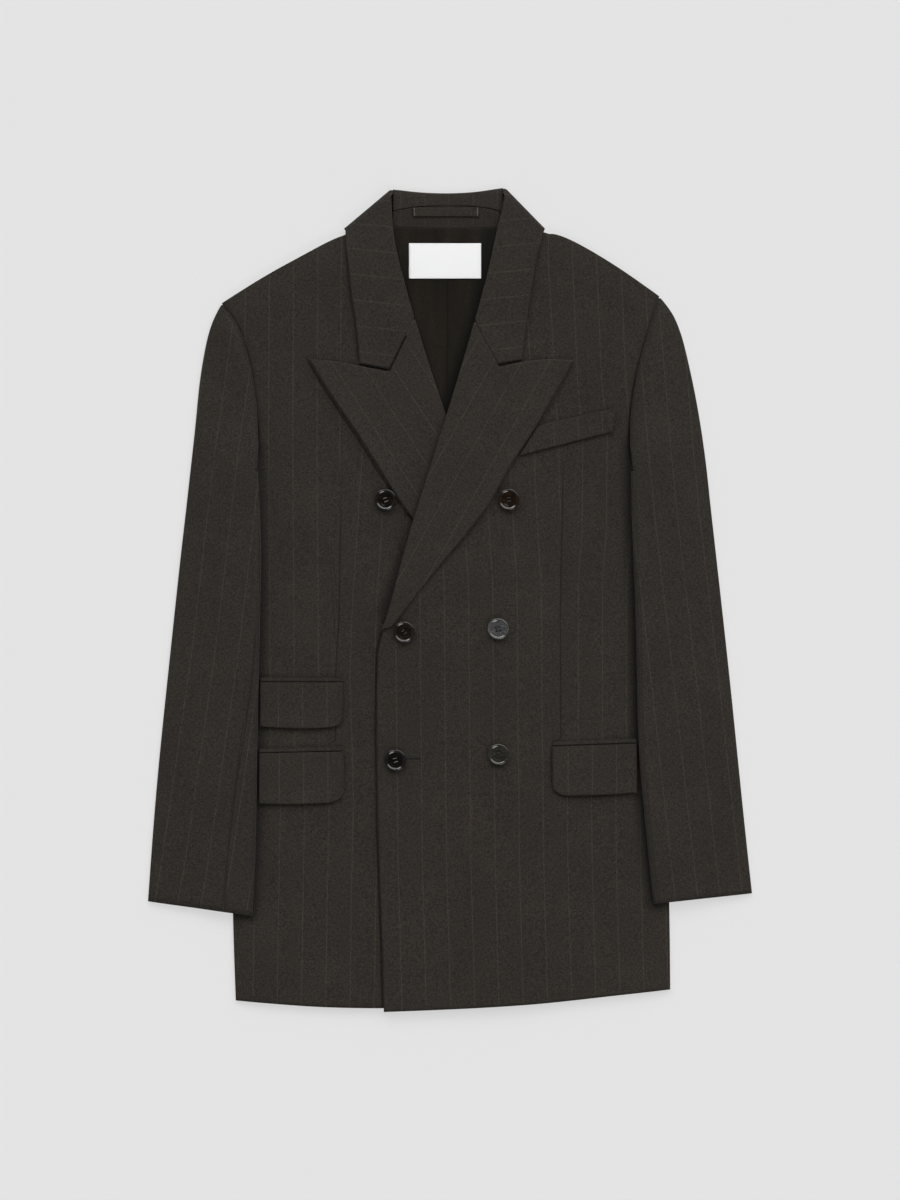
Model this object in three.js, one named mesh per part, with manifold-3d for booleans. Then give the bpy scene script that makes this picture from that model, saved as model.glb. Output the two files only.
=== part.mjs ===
// A double breasted blazer laid flat on its back, in millimetres, +Z up.
// X runs to the viewer's right, which is the wearer's left, and Y runs from hem to collar.
// Each piece of cloth is a wall. Pieces that lie on others follow the same height functions, moved up.
import * as THREE from 'three';
import * as BufferGeometryUtils from 'three/addons/utils/BufferGeometryUtils.js';
import Module from 'manifold-3d';

const wasm = await Module();
wasm.setup();

// Driving sizes
const WALL = 1.5;              // cloth with its canvas and lining
const LAY = 0.4;               // air between two layers that lie on each other
const SEAM = 0.3;              // between two pieces that are sewn edge to edge
const STEP = WALL + LAY;       // rise from one layer to the next
const LOFT = 2.4;              // air between front and back away from the pressed edges
const LOFT_WIDTH = 30;         // how far from a pressed edge the loft is full
const ROLL_OUT = (2 * WALL + LAY) / 2;   // outside radius of a soft fold
const ROLL_MID = (WALL + LAY) / 2;       // radius at the middle of the wall
const STAND_WALL = 2.3;        // the stand is stiffened, so it is thicker
const SHEET_WALL = 1;          // facing, lining and loop
const NECK_SEAM_Y = 393;       // middle of the back's neck seam
const COLLAR_RAMP = [290, 351];   // y over which the back rises onto the collar behind it

// Outlines, rows of [x, y] from hem to neck or shoulder, at the same stations on each side
const EDGE_LEFT = [[-66, -411.5], [-67.5, -343.5], [-71.5, -244.5], [-73, -140], [-72, -52], [-60, -6.5],
  [-42, 61.5], [-20, 131.5], [3.5, 207], [22, 270], [38, 329.5], [45.5, 365], [52, 390]];
const EDGE_RIGHT = [[66, -404.5], [69, -343], [71, -244], [71, -140], [69, -52], [60, -6],
  [40, 55], [19, 120], [-4, 185], [-27, 254.5], [-48.4, 329], [-55.5, 362], [-58, 389]];
const SIDE_LEFT = [[220, -389.5], [219.5, -330], [218, -240], [215, -140], [212, -50], [213, -5],
  [215, 45], [216, 90], [183, 128], [180, 185], [188, 233], [199, 272], [209, 303]];
const SIDE_RIGHT = [[-214, -400.5], [-216.5, -330], [-218.5, -240], [-216, -140], [-212, -50], [-213, -5],
  [-215, 45], [-216, 90], [-194, 128], [-192, 182], [-199, 232], [-211, 271.5], [-228, 296]];
const ARMPIT = 7;              // station of the armpit in the side tables
const HEM_LEFT = [[10, -408.5], [90, -403.5], [160, -396]];
const HEM_RIGHT = [[-30, -408], [-115, -407.5], [-165, -404.5]];
const SHOULDER_LEFT = [[90, 366.3], [106, 364.8], [132, 353.3], [170, 330.3]];
const SHOULDER_RIGHT = [[-100, 365.5], [-117, 360], [-146, 344], [-182, 324.8]];
const NECK_LEFT = [[30, 391.5], [54, 386]];
const NECK_RIGHT = [[-32, 391.5], [-61, 386]];

// Lapels: outer edge from the break to the peak, then the top edge from the roll line to the peak
const BREAK_STATION = 4.45;
const LAPELS = {
  left: {
    edge: [[-58, -27], [-32, 7.5], [-8, 37], [16, 65.5], [40, 97], [60, 134], [79, 161.5], [107, 209.5],
      [123, 238.5]],
    gorge: 9.12,
    notch: [49, 231.5],
    top: [[71, 237.5], [100, 240.5]],
  },
  right: {
    edge: [[58, -24], [35, -2], [0, 36], [-38, 81.5], [-60, 113.5], [-90, 161.5], [-112, 193.5],
      [-127, 216.5], [-141, 239.5]],
    gorge: 9.33,
    notch: [-60, 227],
    top: [[-91, 233], [-116, 238.5]],
  },
};

// Collar leaf: outer edge from the corner at the notch to the neck fold of the shoulder
const COLLAR = {
  left: { fold: [[24.6, 280], [38, 329.5], [45.5, 365], [52, 390], [55, 411.5]],
    edge: [[71.5, 239.5], [76, 277], [81.5, 310], [86, 340], [95, 370.5]], notch: [48, 235] },
  right: { fold: [[-35.5, 282], [-48.4, 329], [-55.5, 362], [-58, 389], [-59, 410]],
    edge: [[-90.5, 235.5], [-94, 276.5], [-98.5, 303], [-102, 336], [-106, 370.5]], notch: [-61.5, 230] },
};
const NECK_FOLD = [[-59, 410], [-30, 407], [0, 406], [28, 407.5], [55, 411.5]];
const LEAF_BACK_EDGE = [[-106, 370.5], [-60, 357], [0, 353.5], [52, 357], [95, 370.5]];

// Sleeves: outer fold from the shoulder to the cuff, then the inner fold from the armhole to the cuff
const SLEEVES = {
  left: {
    outer: [[209, 303], [221, 289.5], [231, 266], [240, 229.5], [248, 189.5], [255.5, 140], [261, 89.5],
      [270, 9.5], [279, -72], [286, -140.5], [294, -220], [302, -293.5]],
    fold: [[179.7, 152], [179, 126], [180, 90], [184, 20], [186.3, -66], [187, -140], [193, -207],
      [198, -258], [203, -303.5]],
    seam: [[152, 2.6], [-310, 2.6]],
    side: SIDE_LEFT,
  },
  right: {
    outer: [[-228, 296], [-237, 279.5], [-243, 259.5], [-250, 219.5], [-255, 170], [-260, 125],
      [-264.5, 85], [-272, 19.5], [-281, -66], [-289, -140.5], [-296, -218], [-302, -301.5]],
    fold: [[-191, 152], [-189.3, 128], [-188, 99.5], [-188.5, 20], [-190.5, -66], [-192, -142],
      [-193.2, -220], [-195, -280], [-197, -315.5]],
    seam: [[152, 2.6], [0, 2.6], [-80, 6], [-137, 13.5], [-182, 20], [-256, 27.5], [-316, 28]],
    side: SIDE_RIGHT,
  },
};
// Levels of the sleeve sections below the armhole seam: y at the outer fold, y at the inner fold
const SLEEVE_LEVELS = [[139, 146], [121, 128], [104, 112], [92, 100], [83, 91], [75, 83], [68, 75],
  [30, 33], [-25, -25], [-85, -88], [-145, -150], [-200, -208], [-252, -263]];
const CUFF = { left: [-293.5, -303.5], right: [-301.5, -315.5] };
const CAP_STATIONS = [11.9, 11.667, 11.333, 11, 10.667, 10.333, 10, 9.667, 9.333, 9, 8.667];
const LIFT_Y = [148, 180];       // y over which the sleeve rises from the armhole onto the front
const HIND_SEAM = 16;            // from the body's side to the sleeve's hind seam

// Buttons: centre, from the top pair down, the fastening column first
const BUTTONS = [[-64.3, 99.5], [58.5, 99.5], [-45.8, -32.5], [48, -29.3], [-54.4, -160.1], [48.3, -154.5]];
const BUTTON = { radius: 10.7, rim: 1.6, height: 3.4, dish: 1.1, hole: 1.1, spread: 1.9, sides: 18 };

// Pockets: welt rows are [x, y] along the upper and the lower line, flap rows run from top to bottom
const POCKETS = {
  ticket: {
    panel: 'right',
    upper: [[-189.3, -78.2], [-107, -78.2]],
    lower: [[-189.3, -82], [-107, -82]],
    flap: { from: -189.4, to: -107.4, top: [-82.6, -82.6], drop: 44, round: 9, sag: 2 },
  },
  right: {
    panel: 'right',
    upper: [[-190.4, -149], [-107.4, -147]],
    lower: [[-190.4, -153], [-107.4, -151]],
    flap: { from: -190.6, to: -106.2, top: [-153.6, -151.6], drop: 50, round: 12, sag: 1.5 },
  },
  left: {
    panel: 'left',
    upper: [[102.5, -142], [186.2, -139]],
    lower: [[102.5, -146], [186.2, -143]],
    flap: { from: 186.2, to: 102.2, top: [-143.6, -146.6], drop: 49, round: 12, sag: 1 },
  },
};
const CHEST_WELT = { lower: [[68.4, 143.2], [162.5, 167.5]], upper: [[88, 173.6], [165.5, 191]] };
const LABEL = { centre: [-5, 338], size: [72, 35], wall: 0.6 };
const LOOP = { centre: [-4, 386.8], size: [66, 8.5] };
const FACING_Y = [371.6, 392.6];
const FACING_X = [-57.6, 51.5];
const LINING = [[371.2, -68, 64], [330, -58, 48], [290, -47, 38], [250, -34, 27], [210, -20, 15],
  [180, -9, 9]];   // rows of y, then x of the left and the right edge
const WELT_WALL = 1.3;

// Finishes
const CLOTH = { color: 0x312d2a, roughness: 0.92, metalness: 0 };
const FACE_CLOTH = { color: 0x34302c, roughness: 0.9, metalness: 0 };
const LINING_CLOTH = { color: 0x23201b, roughness: 0.7, metalness: 0 };
const LABEL_CLOTH = { color: 0xefeff0, roughness: 0.6, metalness: 0 };
const HORN = { color: 0x15120f, roughness: 0.25, metalness: 0 };

const blazer = new THREE.Group();

// Curves and small sums
const smooth = (x) => THREE.MathUtils.smoothstep(x, 0, 1);
const mix = THREE.MathUtils.lerp;

function curve(table) {
  const spline = new THREE.SplineCurve(table.map(([x, y]) => new THREE.Vector2(x, y)));
  return { at: (station) => spline.getPoint(station / (table.length - 1)), last: table.length - 1 };
}

function between(line, from, to) {
  return (t) => line.at(mix(from, to, t));
}

// x of a curve that climbs or falls steadily, at the height y
function crossing(table, y) {
  const line = curve(table);
  const rising = table[0][1] < table.at(-1)[1];
  let low = 0;
  let high = line.last;
  for (let i = 0; i < 22; i += 1) {
    const middle = (low + high) / 2;
    if ((line.at(middle).y < y) === rising) low = middle;
    else high = middle;
  }
  return line.at(low).x;
}

// A broken straight line with its corners at even steps, or at the given shares
function broken(points, shares) {
  return (s) => {
    let i = 1;
    while (i < points.length - 1 && s > shares[i]) i += 1;
    return points[i - 1].clone().lerp(points[i], (s - shares[i - 1]) / (shares[i] - shares[i - 1]));
  };
}

// A patch between four edges: inner and outer run with t, first and last run with s
function patch(inner, outer, first, last) {
  const [a0, b0, a1, b1] = [inner(0), outer(0), inner(1), outer(1)];
  return (s, t) => inner(t).lerp(outer(t), s)
    .addScaledVector(first(s).sub(a0.clone().lerp(b0, s)), 1 - t)
    .addScaledVector(last(s).sub(a1.clone().lerp(b1, s)), t);
}

function through(start, middle, end) {
  const line = curve([[start.x, start.y], ...middle, [end.x, end.y]]);
  return between(line, 0, line.last);
}

function steps(count, from = 0, to = 1) {
  return Array.from({ length: count + 1 }, (_, i) => mix(from, to, i / count));
}

// Heights of the layers above the floor
function sampled(table, from, to, count) {
  return steps(count, from, to).map((station) => curve(table).at(station));
}
const PRESSED = {
  left: [...sampled(SIDE_LEFT, 0, ARMPIT, 21),
    ...sampled([[60, 386], ...SHOULDER_LEFT, [209, 303]], 0, 5, 15)],
  right: [...sampled(SIDE_RIGHT, 0, ARMPIT, 21),
    ...sampled([[-64, 386], ...SHOULDER_RIGHT, [-228, 296]], 0, 5, 15)],
};
const SHOULDER_START = 22;     // first shoulder point in the pressed lines

function distanceTo(points, skip, x, y) {
  let best = Infinity;
  for (let i = 1; i < points.length; i += 1) {
    if (i === skip) continue;
    const [a, b] = [points[i - 1], points[i]];
    const length = (b.x - a.x) ** 2 + (b.y - a.y) ** 2;
    const share = THREE.MathUtils.clamp(((x - a.x) * (b.x - a.x) + (y - a.y) * (b.y - a.y)) / length, 0, 1);
    best = Math.min(best, Math.hypot(x - mix(a.x, b.x, share), y - mix(a.y, b.y, share)));
  }
  return best;
}

const crown = (distance) => LOFT * (1 - (1 - THREE.MathUtils.clamp(distance / LOFT_WIDTH, 0, 1)) ** 2);
const loft = (x, y) => crown(distanceTo(x > 0 ? PRESSED.left : PRESSED.right, SHOULDER_START, x, y));
const climb = (y, [from, to]) => smooth((y - from) / (to - from));
const backFoot = (x, y) => STEP * climb(y, COLLAR_RAMP);
const backTop = (x, y) => backFoot(x, y) + WALL;
const underFoot = (x, y) => backFoot(x, y) + STEP + loft(x, y);
const underTop = (x, y) => underFoot(x, y) + WALL;

// The left front climbs over the right front, and again over the right lapel
const OVER_FADE = 70;
const OVER_MARGIN = 4;
const OVER_AIR = 0.2;            // more air under the left front than between other layers
const LAPEL_FOOT = [-125, -35];   // y over which the rise over the right lapel comes in
const edgeAt = (y) => crossing(EDGE_RIGHT, THREE.MathUtils.clamp(y, -400, 388));
function overRise(x, y) {
  const onFront = smooth(1 - (x - edgeAt(y) - OVER_MARGIN) / OVER_FADE);
  const onLapel = climb(y, LAPEL_FOOT);
  return (STEP + OVER_AIR) * onFront * (1 + onLapel);
}
const overFoot = (x, y) => underFoot(x, y) + overRise(x, y);
const overTop = (x, y) => overFoot(x, y) + WALL;
const PANEL = {
  left: { foot: overFoot, top: overTop, edge: EDGE_LEFT },
  right: { foot: underFoot, top: underTop, edge: EDGE_RIGHT },
};

// Solids. A cell is the middle of the wall and half of its thickness as a vector
function flatCell(point, foot, wall = WALL) {
  const mid = new THREE.Vector3(point.x, point.y, foot(point.x, point.y) + wall / 2);
  return { mid, half: new THREE.Vector3(0, 0, wall / 2) };
}

// The same where the outer face of the cloth lies below, as past a fold
function turnedCell(point, foot) {
  const { mid, half } = flatCell(point, foot);
  return { mid, half: half.negate() };
}

// A cell on a fold: pivot in plan, direction into the piece, and the angle from the top round to below
function foldCell(pivot, inward, pivotZ, angle, radius = ROLL_MID, wall = WALL) {
  const side = new THREE.Vector3(-inward.x * Math.sin(angle), -inward.y * Math.sin(angle), Math.cos(angle));
  const mid = new THREE.Vector3(pivot.x, pivot.y, pivotZ).addScaledVector(side, radius);
  return { mid, half: side.multiplyScalar(wall / 2) };
}

function volumeOf(positions, index) {
  let sum = 0;
  const [a, b, c] = [new THREE.Vector3(), new THREE.Vector3(), new THREE.Vector3()];
  for (let i = 0; i < index.length; i += 3) {
    a.fromArray(positions, 3 * index[i]);
    b.fromArray(positions, 3 * index[i + 1]);
    c.fromArray(positions, 3 * index[i + 2]);
    sum += a.dot(b.cross(c));
  }
  return sum;
}

function add(name, geometry, finish) {
  const mesh = new THREE.Mesh(geometry, new THREE.MeshStandardMaterial(finish));
  mesh.name = name;
  blazer.add(mesh);
}

// A closed wall from rows of cells
function wall(name, rows, finish) {
  const [count, width] = [rows.length, rows[0].length];
  const positions = [];
  for (const sign of [1, -1]) {
    for (const row of rows) {
      for (const { mid, half } of row) positions.push(...mid.clone().addScaledVector(half, sign).toArray());
    }
  }
  const id = (side, i, j) => side * count * width + i * width + j;
  const index = [];
  const quad = (a, b, c, d) => index.push(a, b, c, a, c, d);
  for (let i = 0; i < count - 1; i += 1) {
    for (let j = 0; j < width - 1; j += 1) {
      quad(id(0, i, j), id(0, i, j + 1), id(0, i + 1, j + 1), id(0, i + 1, j));
      quad(id(1, i, j), id(1, i + 1, j), id(1, i + 1, j + 1), id(1, i, j + 1));
    }
    quad(id(0, i, 0), id(0, i + 1, 0), id(1, i + 1, 0), id(1, i, 0));
    quad(id(0, i + 1, width - 1), id(0, i, width - 1), id(1, i, width - 1), id(1, i + 1, width - 1));
  }
  for (let j = 0; j < width - 1; j += 1) {
    quad(id(0, 0, j + 1), id(0, 0, j), id(1, 0, j), id(1, 0, j + 1));
    quad(id(0, count - 1, j), id(0, count - 1, j + 1), id(1, count - 1, j + 1), id(1, count - 1, j));
  }
  if (volumeOf(positions, index) < 0) index.reverse();
  const geometry = new THREE.BufferGeometry();
  geometry.setAttribute('position', new THREE.Float32BufferAttribute(positions, 3));
  geometry.setIndex(index);
  geometry.computeVertexNormals();
  add(name, geometry, finish);
}

// The body's panels
const PANEL_ROWS = [0, 0.5, 1, 2, 3, 3.5, 4, 4.25, 4.5, 5, 5.5, 6, 6.5, 7, 7.333, 7.667, 8, 8.333, 8.667, 9,
  9.333, 9.667, 10, 10.333, 10.667, 11, 11.333, 11.667, 12];
const FRONT_COLUMNS = {
  left: [0, 0.07, 0.14, 0.21, 0.28, 0.35, 0.43, 0.51, 0.6, 0.7, 0.8, 0.88, 0.94, 1],
  right: [0, 0.1, 0.22, 0.36, 0.5, 0.64, 0.76, 0.86, 0.93, 1],
};
const STATIONS = EDGE_LEFT.length - 1;
const ROLL_FADE = [0.35, 0.1];  // stations below the break over which the edge gives way to the roll

function front(side) {
  const { foot, edge } = PANEL[side];
  const sideTable = side === 'left' ? SIDE_LEFT : SIDE_RIGHT;
  const hemMiddle = side === 'left' ? HEM_LEFT : HEM_RIGHT;
  const shoulderMiddle = side === 'left' ? SHOULDER_LEFT : SHOULDER_RIGHT;
  const [inner, outer] = [between(curve(edge), 0, STATIONS), between(curve(sideTable), 0, STATIONS)];
  const hem = through(inner(0), hemMiddle, outer(0));
  const shoulder = through(inner(1), shoulderMiddle, outer(1));
  const area = patch(inner, outer, hem, shoulder);
  const rows = PANEL_ROWS.map((station) => {
    const t = station / STATIONS;
    const rollShare = smooth((station - BREAK_STATION + ROLL_FADE[0]) / (ROLL_FADE[0] - ROLL_FADE[1]));
    const across = area(0.05, t).sub(area(0, t)).normalize();
    const along = inner(Math.min(t + 0.01, 1)).sub(inner(Math.max(t - 0.01, 0))).normalize();
    const start = (ROLL_OUT + SEAM) * rollShare / Math.abs(across.cross(along));
    return FRONT_COLUMNS[side].map((s) => flatCell(s === 0
      ? area(0, t).addScaledVector(across, start) : area(s, t), foot));
  });
  wall(`front_${side}`, rows, CLOTH);
}

const BACK_ROWS = [0, 1, 2, 3, 4, 5, 6, 7, 7.333, 7.667, 8, 8.333, 8.667, 9, 9.333, 9.667, 10, 10.333, 10.667,
  11, 11.333, 11.667, 12];
const BACK_CENTRE_Y = [-406, -340, -240, -140, -50, -5, 50, 105, 165, 228, 290, 345, NECK_SEAM_Y - SEAM];
const BACK_COLUMNS = [0, 0.08, 0.16, 0.24, 0.32, 0.42, 0.6, 0.8, 1];
const HEM_TUCK = 2;             // how far the back's hem stays inside the fronts'
const BACK_HEM = { left: [[110, -399]], right: [[-110, -405]] };

function back(side) {
  const sign = side === 'left' ? 1 : -1;
  const centre = BACK_CENTRE_Y.map((y) => [sign * SEAM / 2, y]);
  const sideTable = side === 'left' ? SIDE_LEFT : SIDE_RIGHT;
  const table = sideTable.map(([x, y], i) => [x, i === 0 ? y + HEM_TUCK : y]);
  const neck = side === 'left' ? NECK_LEFT : NECK_RIGHT;
  const shoulder = side === 'left' ? SHOULDER_LEFT : SHOULDER_RIGHT;
  const [inner, outer] = [between(curve(centre), 0, STATIONS), between(curve(table), 0, STATIONS)];
  const hem = through(inner(0), BACK_HEM[side], outer(0));
  const top = through(inner(1), [...neck, ...shoulder], outer(1));
  const area = patch(inner, outer, hem, top);
  wall(`back_${side}`, BACK_ROWS.map((station) =>
    BACK_COLUMNS.map((s) => flatCell(area(s, station / STATIONS), backFoot))), CLOTH);
}

// The lapels and the collar
const FOLD_ANGLES = [Math.PI, 2 * Math.PI / 3, Math.PI / 3];
const LAPEL_ROWS = 18;
const LAPEL_SHARES = [0.18, 0.38, 0.58, 0.78, 1];
const NOTCH_SHARE = 0.38;
const TOP_EDGE_SHARES = [0, NOTCH_SHARE, 0.58, 0.78, 1];

function lapel(side) {
  const { edge, gorge, notch, top } = LAPELS[side];
  const panel = PANEL[side];
  const inner = between(curve(panel.edge), BREAK_STATION, gorge);
  const outerLine = curve(edge);
  const outer = between(outerLine, 0, outerLine.last);
  const middle = [notch, ...top].map((point) => new THREE.Vector2(...point));
  const topEdge = broken([inner(1), ...middle, outer(1)], TOP_EDGE_SHARES);
  const area = patch(inner, outer, (s) => inner(0).lerp(outer(0), s), topEdge);
  const foot = (x, y) => panel.top(x, y) + LAY;
  const rows = steps(LAPEL_ROWS).map((t) => {
    const start = inner(t);
    const inward = area(0.1, t).sub(start).normalize();
    const pivot = start.clone().addScaledVector(inward, ROLL_OUT);
    const pivotZ = panel.top(pivot.x, pivot.y) + LAY / 2;
    const fold = FOLD_ANGLES.map((angle) => foldCell(pivot, inward, pivotZ, angle));
    return [...fold, flatCell(pivot, foot), ...LAPEL_SHARES.map((s) => flatCell(area(s, t), foot))];
  });
  wall(`lapel_${side}`, rows, FACE_CLOTH);
}

const LEAF_SHARES = [0.2, 0.4, 0.6, 0.8, 1];
const LEAF_ROWS = [0, 0.1, 0.22, 0.36, 0.5, 0.64, 0.78, 0.9];
const LEAF_NOTCH_SHARE = 0.6;
const WRAP_END = 0.15;          // angle from flat at which the wrap over the shoulder ends
const WRAP_ANGLES = steps(6, WRAP_END, Math.PI - WRAP_END);
const WRAP_TOP = 3 * STEP;      // foot of the front leaf where it goes over the shoulder
const WRAP_START = 1.2;         // from the corner of the neck to the wrap
const STAND_RADIUS = (STAND_WALL + WALL + LAY) / 2;   // roll at the back of the neck
const LEAF_START = STAND_RADIUS + SEAM + 1;           // from the fold to the back leaf
const LEAF_ROLL = { from: 0.65, to: 0.95 };           // share of the leaf over which its roll flattens

function collarFront(side) {
  const { fold, edge, notch } = COLLAR[side];
  const foot = (x, y) => PANEL[side].top(x, y) + LAY;
  const inner = between(curve(fold), 0, fold.length - 1);
  const outer = between(curve(edge), 0, edge.length - 1);
  const gorge = broken([inner(0), new THREE.Vector2(...notch), outer(0)], [0, LEAF_NOTCH_SHARE, 1]);
  const area = patch(inner, outer, gorge, (s) => inner(1).lerp(outer(1), s));
  return LEAF_ROWS.map((t) => {
    const start = inner(t);
    const inward = area(0.1, t).sub(start).normalize();
    const pivot = start.clone().addScaledVector(inward, ROLL_OUT);
    const share = smooth((LEAF_ROLL.to - t) / (LEAF_ROLL.to - LEAF_ROLL.from));
    const pivotZ = foot(pivot.x, pivot.y) - LAY / 2;
    const roll = FOLD_ANGLES.map((angle, i) => {
      const flatPoint = start.clone().addScaledVector(inward, ROLL_OUT * i / FOLD_ANGLES.length);
      const flat = flatCell(flatPoint, foot);
      const round = foldCell(pivot, inward, pivotZ, angle * share);
      return { mid: flat.mid.lerp(round.mid, share), half: flat.half.lerp(round.half, share) };
    });
    return [...roll, flatCell(pivot, foot), ...LEAF_SHARES.map((s) => flatCell(area(s, t), foot))];
  });
}

// Cells from the neck fold out to the edge, with as many columns as the front leaf has
const LEAD_COLUMNS = [0.78, 0.86, 0.93, 1];

function collarColumns(from, to, start, make) {
  const first = start / from.distanceTo(to);
  const shares = [...LEAD_COLUMNS.map((s) => first * s), ...LEAF_SHARES.map((s) => mix(first, 1, s))];
  return shares.map((s) => make(from.clone().lerp(to, s)));
}

function collarWrap(side) {
  const from = new THREE.Vector2(...COLLAR[side].fold.at(-1));
  const to = new THREE.Vector2(...COLLAR[side].edge.at(-1));
  const along = to.clone().sub(from).normalize();
  const turn = side === 'left' ? 1 : -1;
  const inward = new THREE.Vector2(turn * along.y, -turn * along.x);
  const height = WRAP_TOP + WALL;
  return WRAP_ANGLES.map((angle) => collarColumns(from, to, WRAP_START, (point) =>
    foldCell(point.clone().addScaledVector(inward, height / 2), inward, height / 2, angle,
      (height - WALL) / 2)));
}

function collarLeaf() {
  const backRows = steps(10, 0.16, 0.84).map((t) => {
    const from = curve(NECK_FOLD).at(t * (NECK_FOLD.length - 1));
    const to = curve(LEAF_BACK_EDGE).at(t * (LEAF_BACK_EDGE.length - 1));
    return collarColumns(from, to, LEAF_START, (point) => turnedCell(point, () => 0));
  });
  wall('collar_leaf', [...collarFront('right'), ...collarWrap('right'), ...backRows,
    ...collarWrap('left').reverse(), ...collarFront('left').reverse()], FACE_CLOTH);
}

function collarStand() {
  const rows = steps(12, -57, 53).map((x) => {
    const share = (x - NECK_FOLD[0][0]) / (NECK_FOLD.at(-1)[0] - NECK_FOLD[0][0]);
    const fold = curve(NECK_FOLD).at(share * (NECK_FOLD.length - 1));
    const seamY = Math.min(neckSeamAt(x), NECK_SEAM_Y);
    const pivotY = fold.y - STAND_RADIUS;
    const flat = [0, 0.5, 1].map((s) => flatCell({ x, y: mix(seamY, pivotY, s) }, () => STEP, STAND_WALL));
    const inward = new THREE.Vector2(0, -1);
    const middle = (STEP + STAND_WALL / 2 + WALL / 2) / 2;
    const round = steps(4, Math.PI / 4, Math.PI).map((angle) => {
      const wallHere = mix(STAND_WALL, WALL, angle / Math.PI);
      const radius = (STEP + STAND_WALL / 2 - WALL / 2) / 2;
      return foldCell({ x, y: pivotY }, inward, middle, angle, radius, wallHere);
    });
    return [...flat, ...round];
  });
  wall('collar_stand', rows, FACE_CLOTH);
}

// Height of the back's neck seam at x
function neckSeamAt(x) {
  const start = [x < 0 ? -SEAM / 2 : SEAM / 2, NECK_SEAM_Y - SEAM];
  const table = [start, ...(x < 0 ? [...NECK_RIGHT, ...SHOULDER_RIGHT] : [...NECK_LEFT, ...SHOULDER_LEFT])];
  const line = curve(table);
  let [low, high] = [0, line.last];
  for (let i = 0; i < 22; i += 1) {
    const middle = (low + high) / 2;
    if (Math.abs(line.at(middle).x) < Math.abs(x)) low = middle;
    else high = middle;
  }
  return line.at(low).y + 2 * SEAM;
}

// What the neck shows inside
const insideFoot = (x, y) => backTop(x, y) + SEAM;

function neckInside() {
  const facing = steps(3).map((t) => steps(8, ...FACING_X).map((x) => {
    const top = Math.min(FACING_Y[1], neckSeamAt(x) - 2 * SEAM);
    const y = mix(FACING_Y[0] + 2 * (x / 60) ** 2 - 1, top, t);
    return flatCell({ x, y }, insideFoot, SHEET_WALL);
  }));
  wall('neck_facing', facing, FACE_CLOTH);
  const lining = LINING.flatMap(([y, from, to], i) => {
    const next = LINING[i + 1];
    const rows = next ? [0, 1 / 3, 2 / 3] : [0];
    return rows.map((share) => steps(6).map((s) => {
      const [a, b] = next ? [mix(from, next[1], share), mix(to, next[2], share)] : [from, to];
      const x = mix(a, b, s);
      const bend = i === 0 ? (2 * (x / 60) ** 2 - 1) * (1 - share) : 0;
      return flatCell({ x, y: (next ? mix(y, next[0], share) : y) + bend }, insideFoot, SHEET_WALL);
    }));
  });
  wall('back_lining', lining, LINING_CLOTH);
  const onSheet = (x, y) => insideFoot(x, y) + SHEET_WALL + SEAM;
  sheetOn('label_blank', LABEL, [4, 6], onSheet, LABEL.wall, LABEL_CLOTH);
  sheetOn('hanger_loop', LOOP, [8, 1], onSheet, SHEET_WALL, FACE_CLOTH);
}

function sheetOn(name, { centre, size }, [across, up], foot, thickness, finish) {
  wall(name, steps(up, -0.5, 0.5).map((v) => steps(across, -0.5, 0.5).map((u) =>
    flatCell({ x: centre[0] + u * size[0], y: centre[1] + v * size[1] }, foot, thickness))), finish);
}

// Sleeves. The body's side is given as a distance from the centre, so both sides read the same
const RAMP = { under: [14, 1], over: [45, 2] };

function sleeveHeights(side) {
  const sign = side === 'left' ? 1 : -1;
  const { outer, fold, side: sideTable } = SLEEVES[side];
  const sidePart = sideTable.slice(0, ARMPIT + 1);
  const bodySide = (y) => Math.abs(crossing(sidePart, THREE.MathUtils.clamp(y, -385, 89.5)));
  const inside = (x, y) => bodySide(y) - sign * x;
  const lift = (x, y, [far, near]) => {
    const e = inside(x, y);
    const rise = smooth((e + far) / (far - near));
    return rise * (2 * STEP + (e > 0 ? loft(x, y) : 0)) * (1 - climb(y, LIFT_Y));
  };
  const under = (x, y) => lift(x, y, RAMP.under);
  const outerAt = (y) => sign * crossing(outer, y);
  const foldAt = (y) => sign * crossing(fold, THREE.MathUtils.clamp(y, -314, 151));
  const top = (x, y) => {
    const released = climb(y, LIFT_Y);
    const fromOuter = Math.max(outerAt(y) - sign * x - ROLL_OUT, 0);
    const fromFold = Math.max(sign * x - foldAt(y) - ROLL_OUT, 0) + released * LOFT_WIDTH;
    return lift(x, y, RAMP.over) + STEP + crown(Math.min(fromOuter, fromFold));
  };
  return { sign, bodySide, under, top };
}

const TOP_SHARES = [0, 0.22, 0.44, 0.66, 0.85, 1];
const NARROW_SHARE = 0.45;       // of the sleeve cap's width, the most that its fold may take
const UNDER_SHARES = [0.2, 0.4, 0.6, 0.75, 0.88, 1];
const ARM_STATIONS = [8.333, 8, 7.667, 7.333, 7];
const HIND_ROWS = [3, 3.5];       // first section and count of sections over which the hind seam moves out
const ROUND_ANGLES = [Math.PI / 3, 2 * Math.PI / 3];

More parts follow.
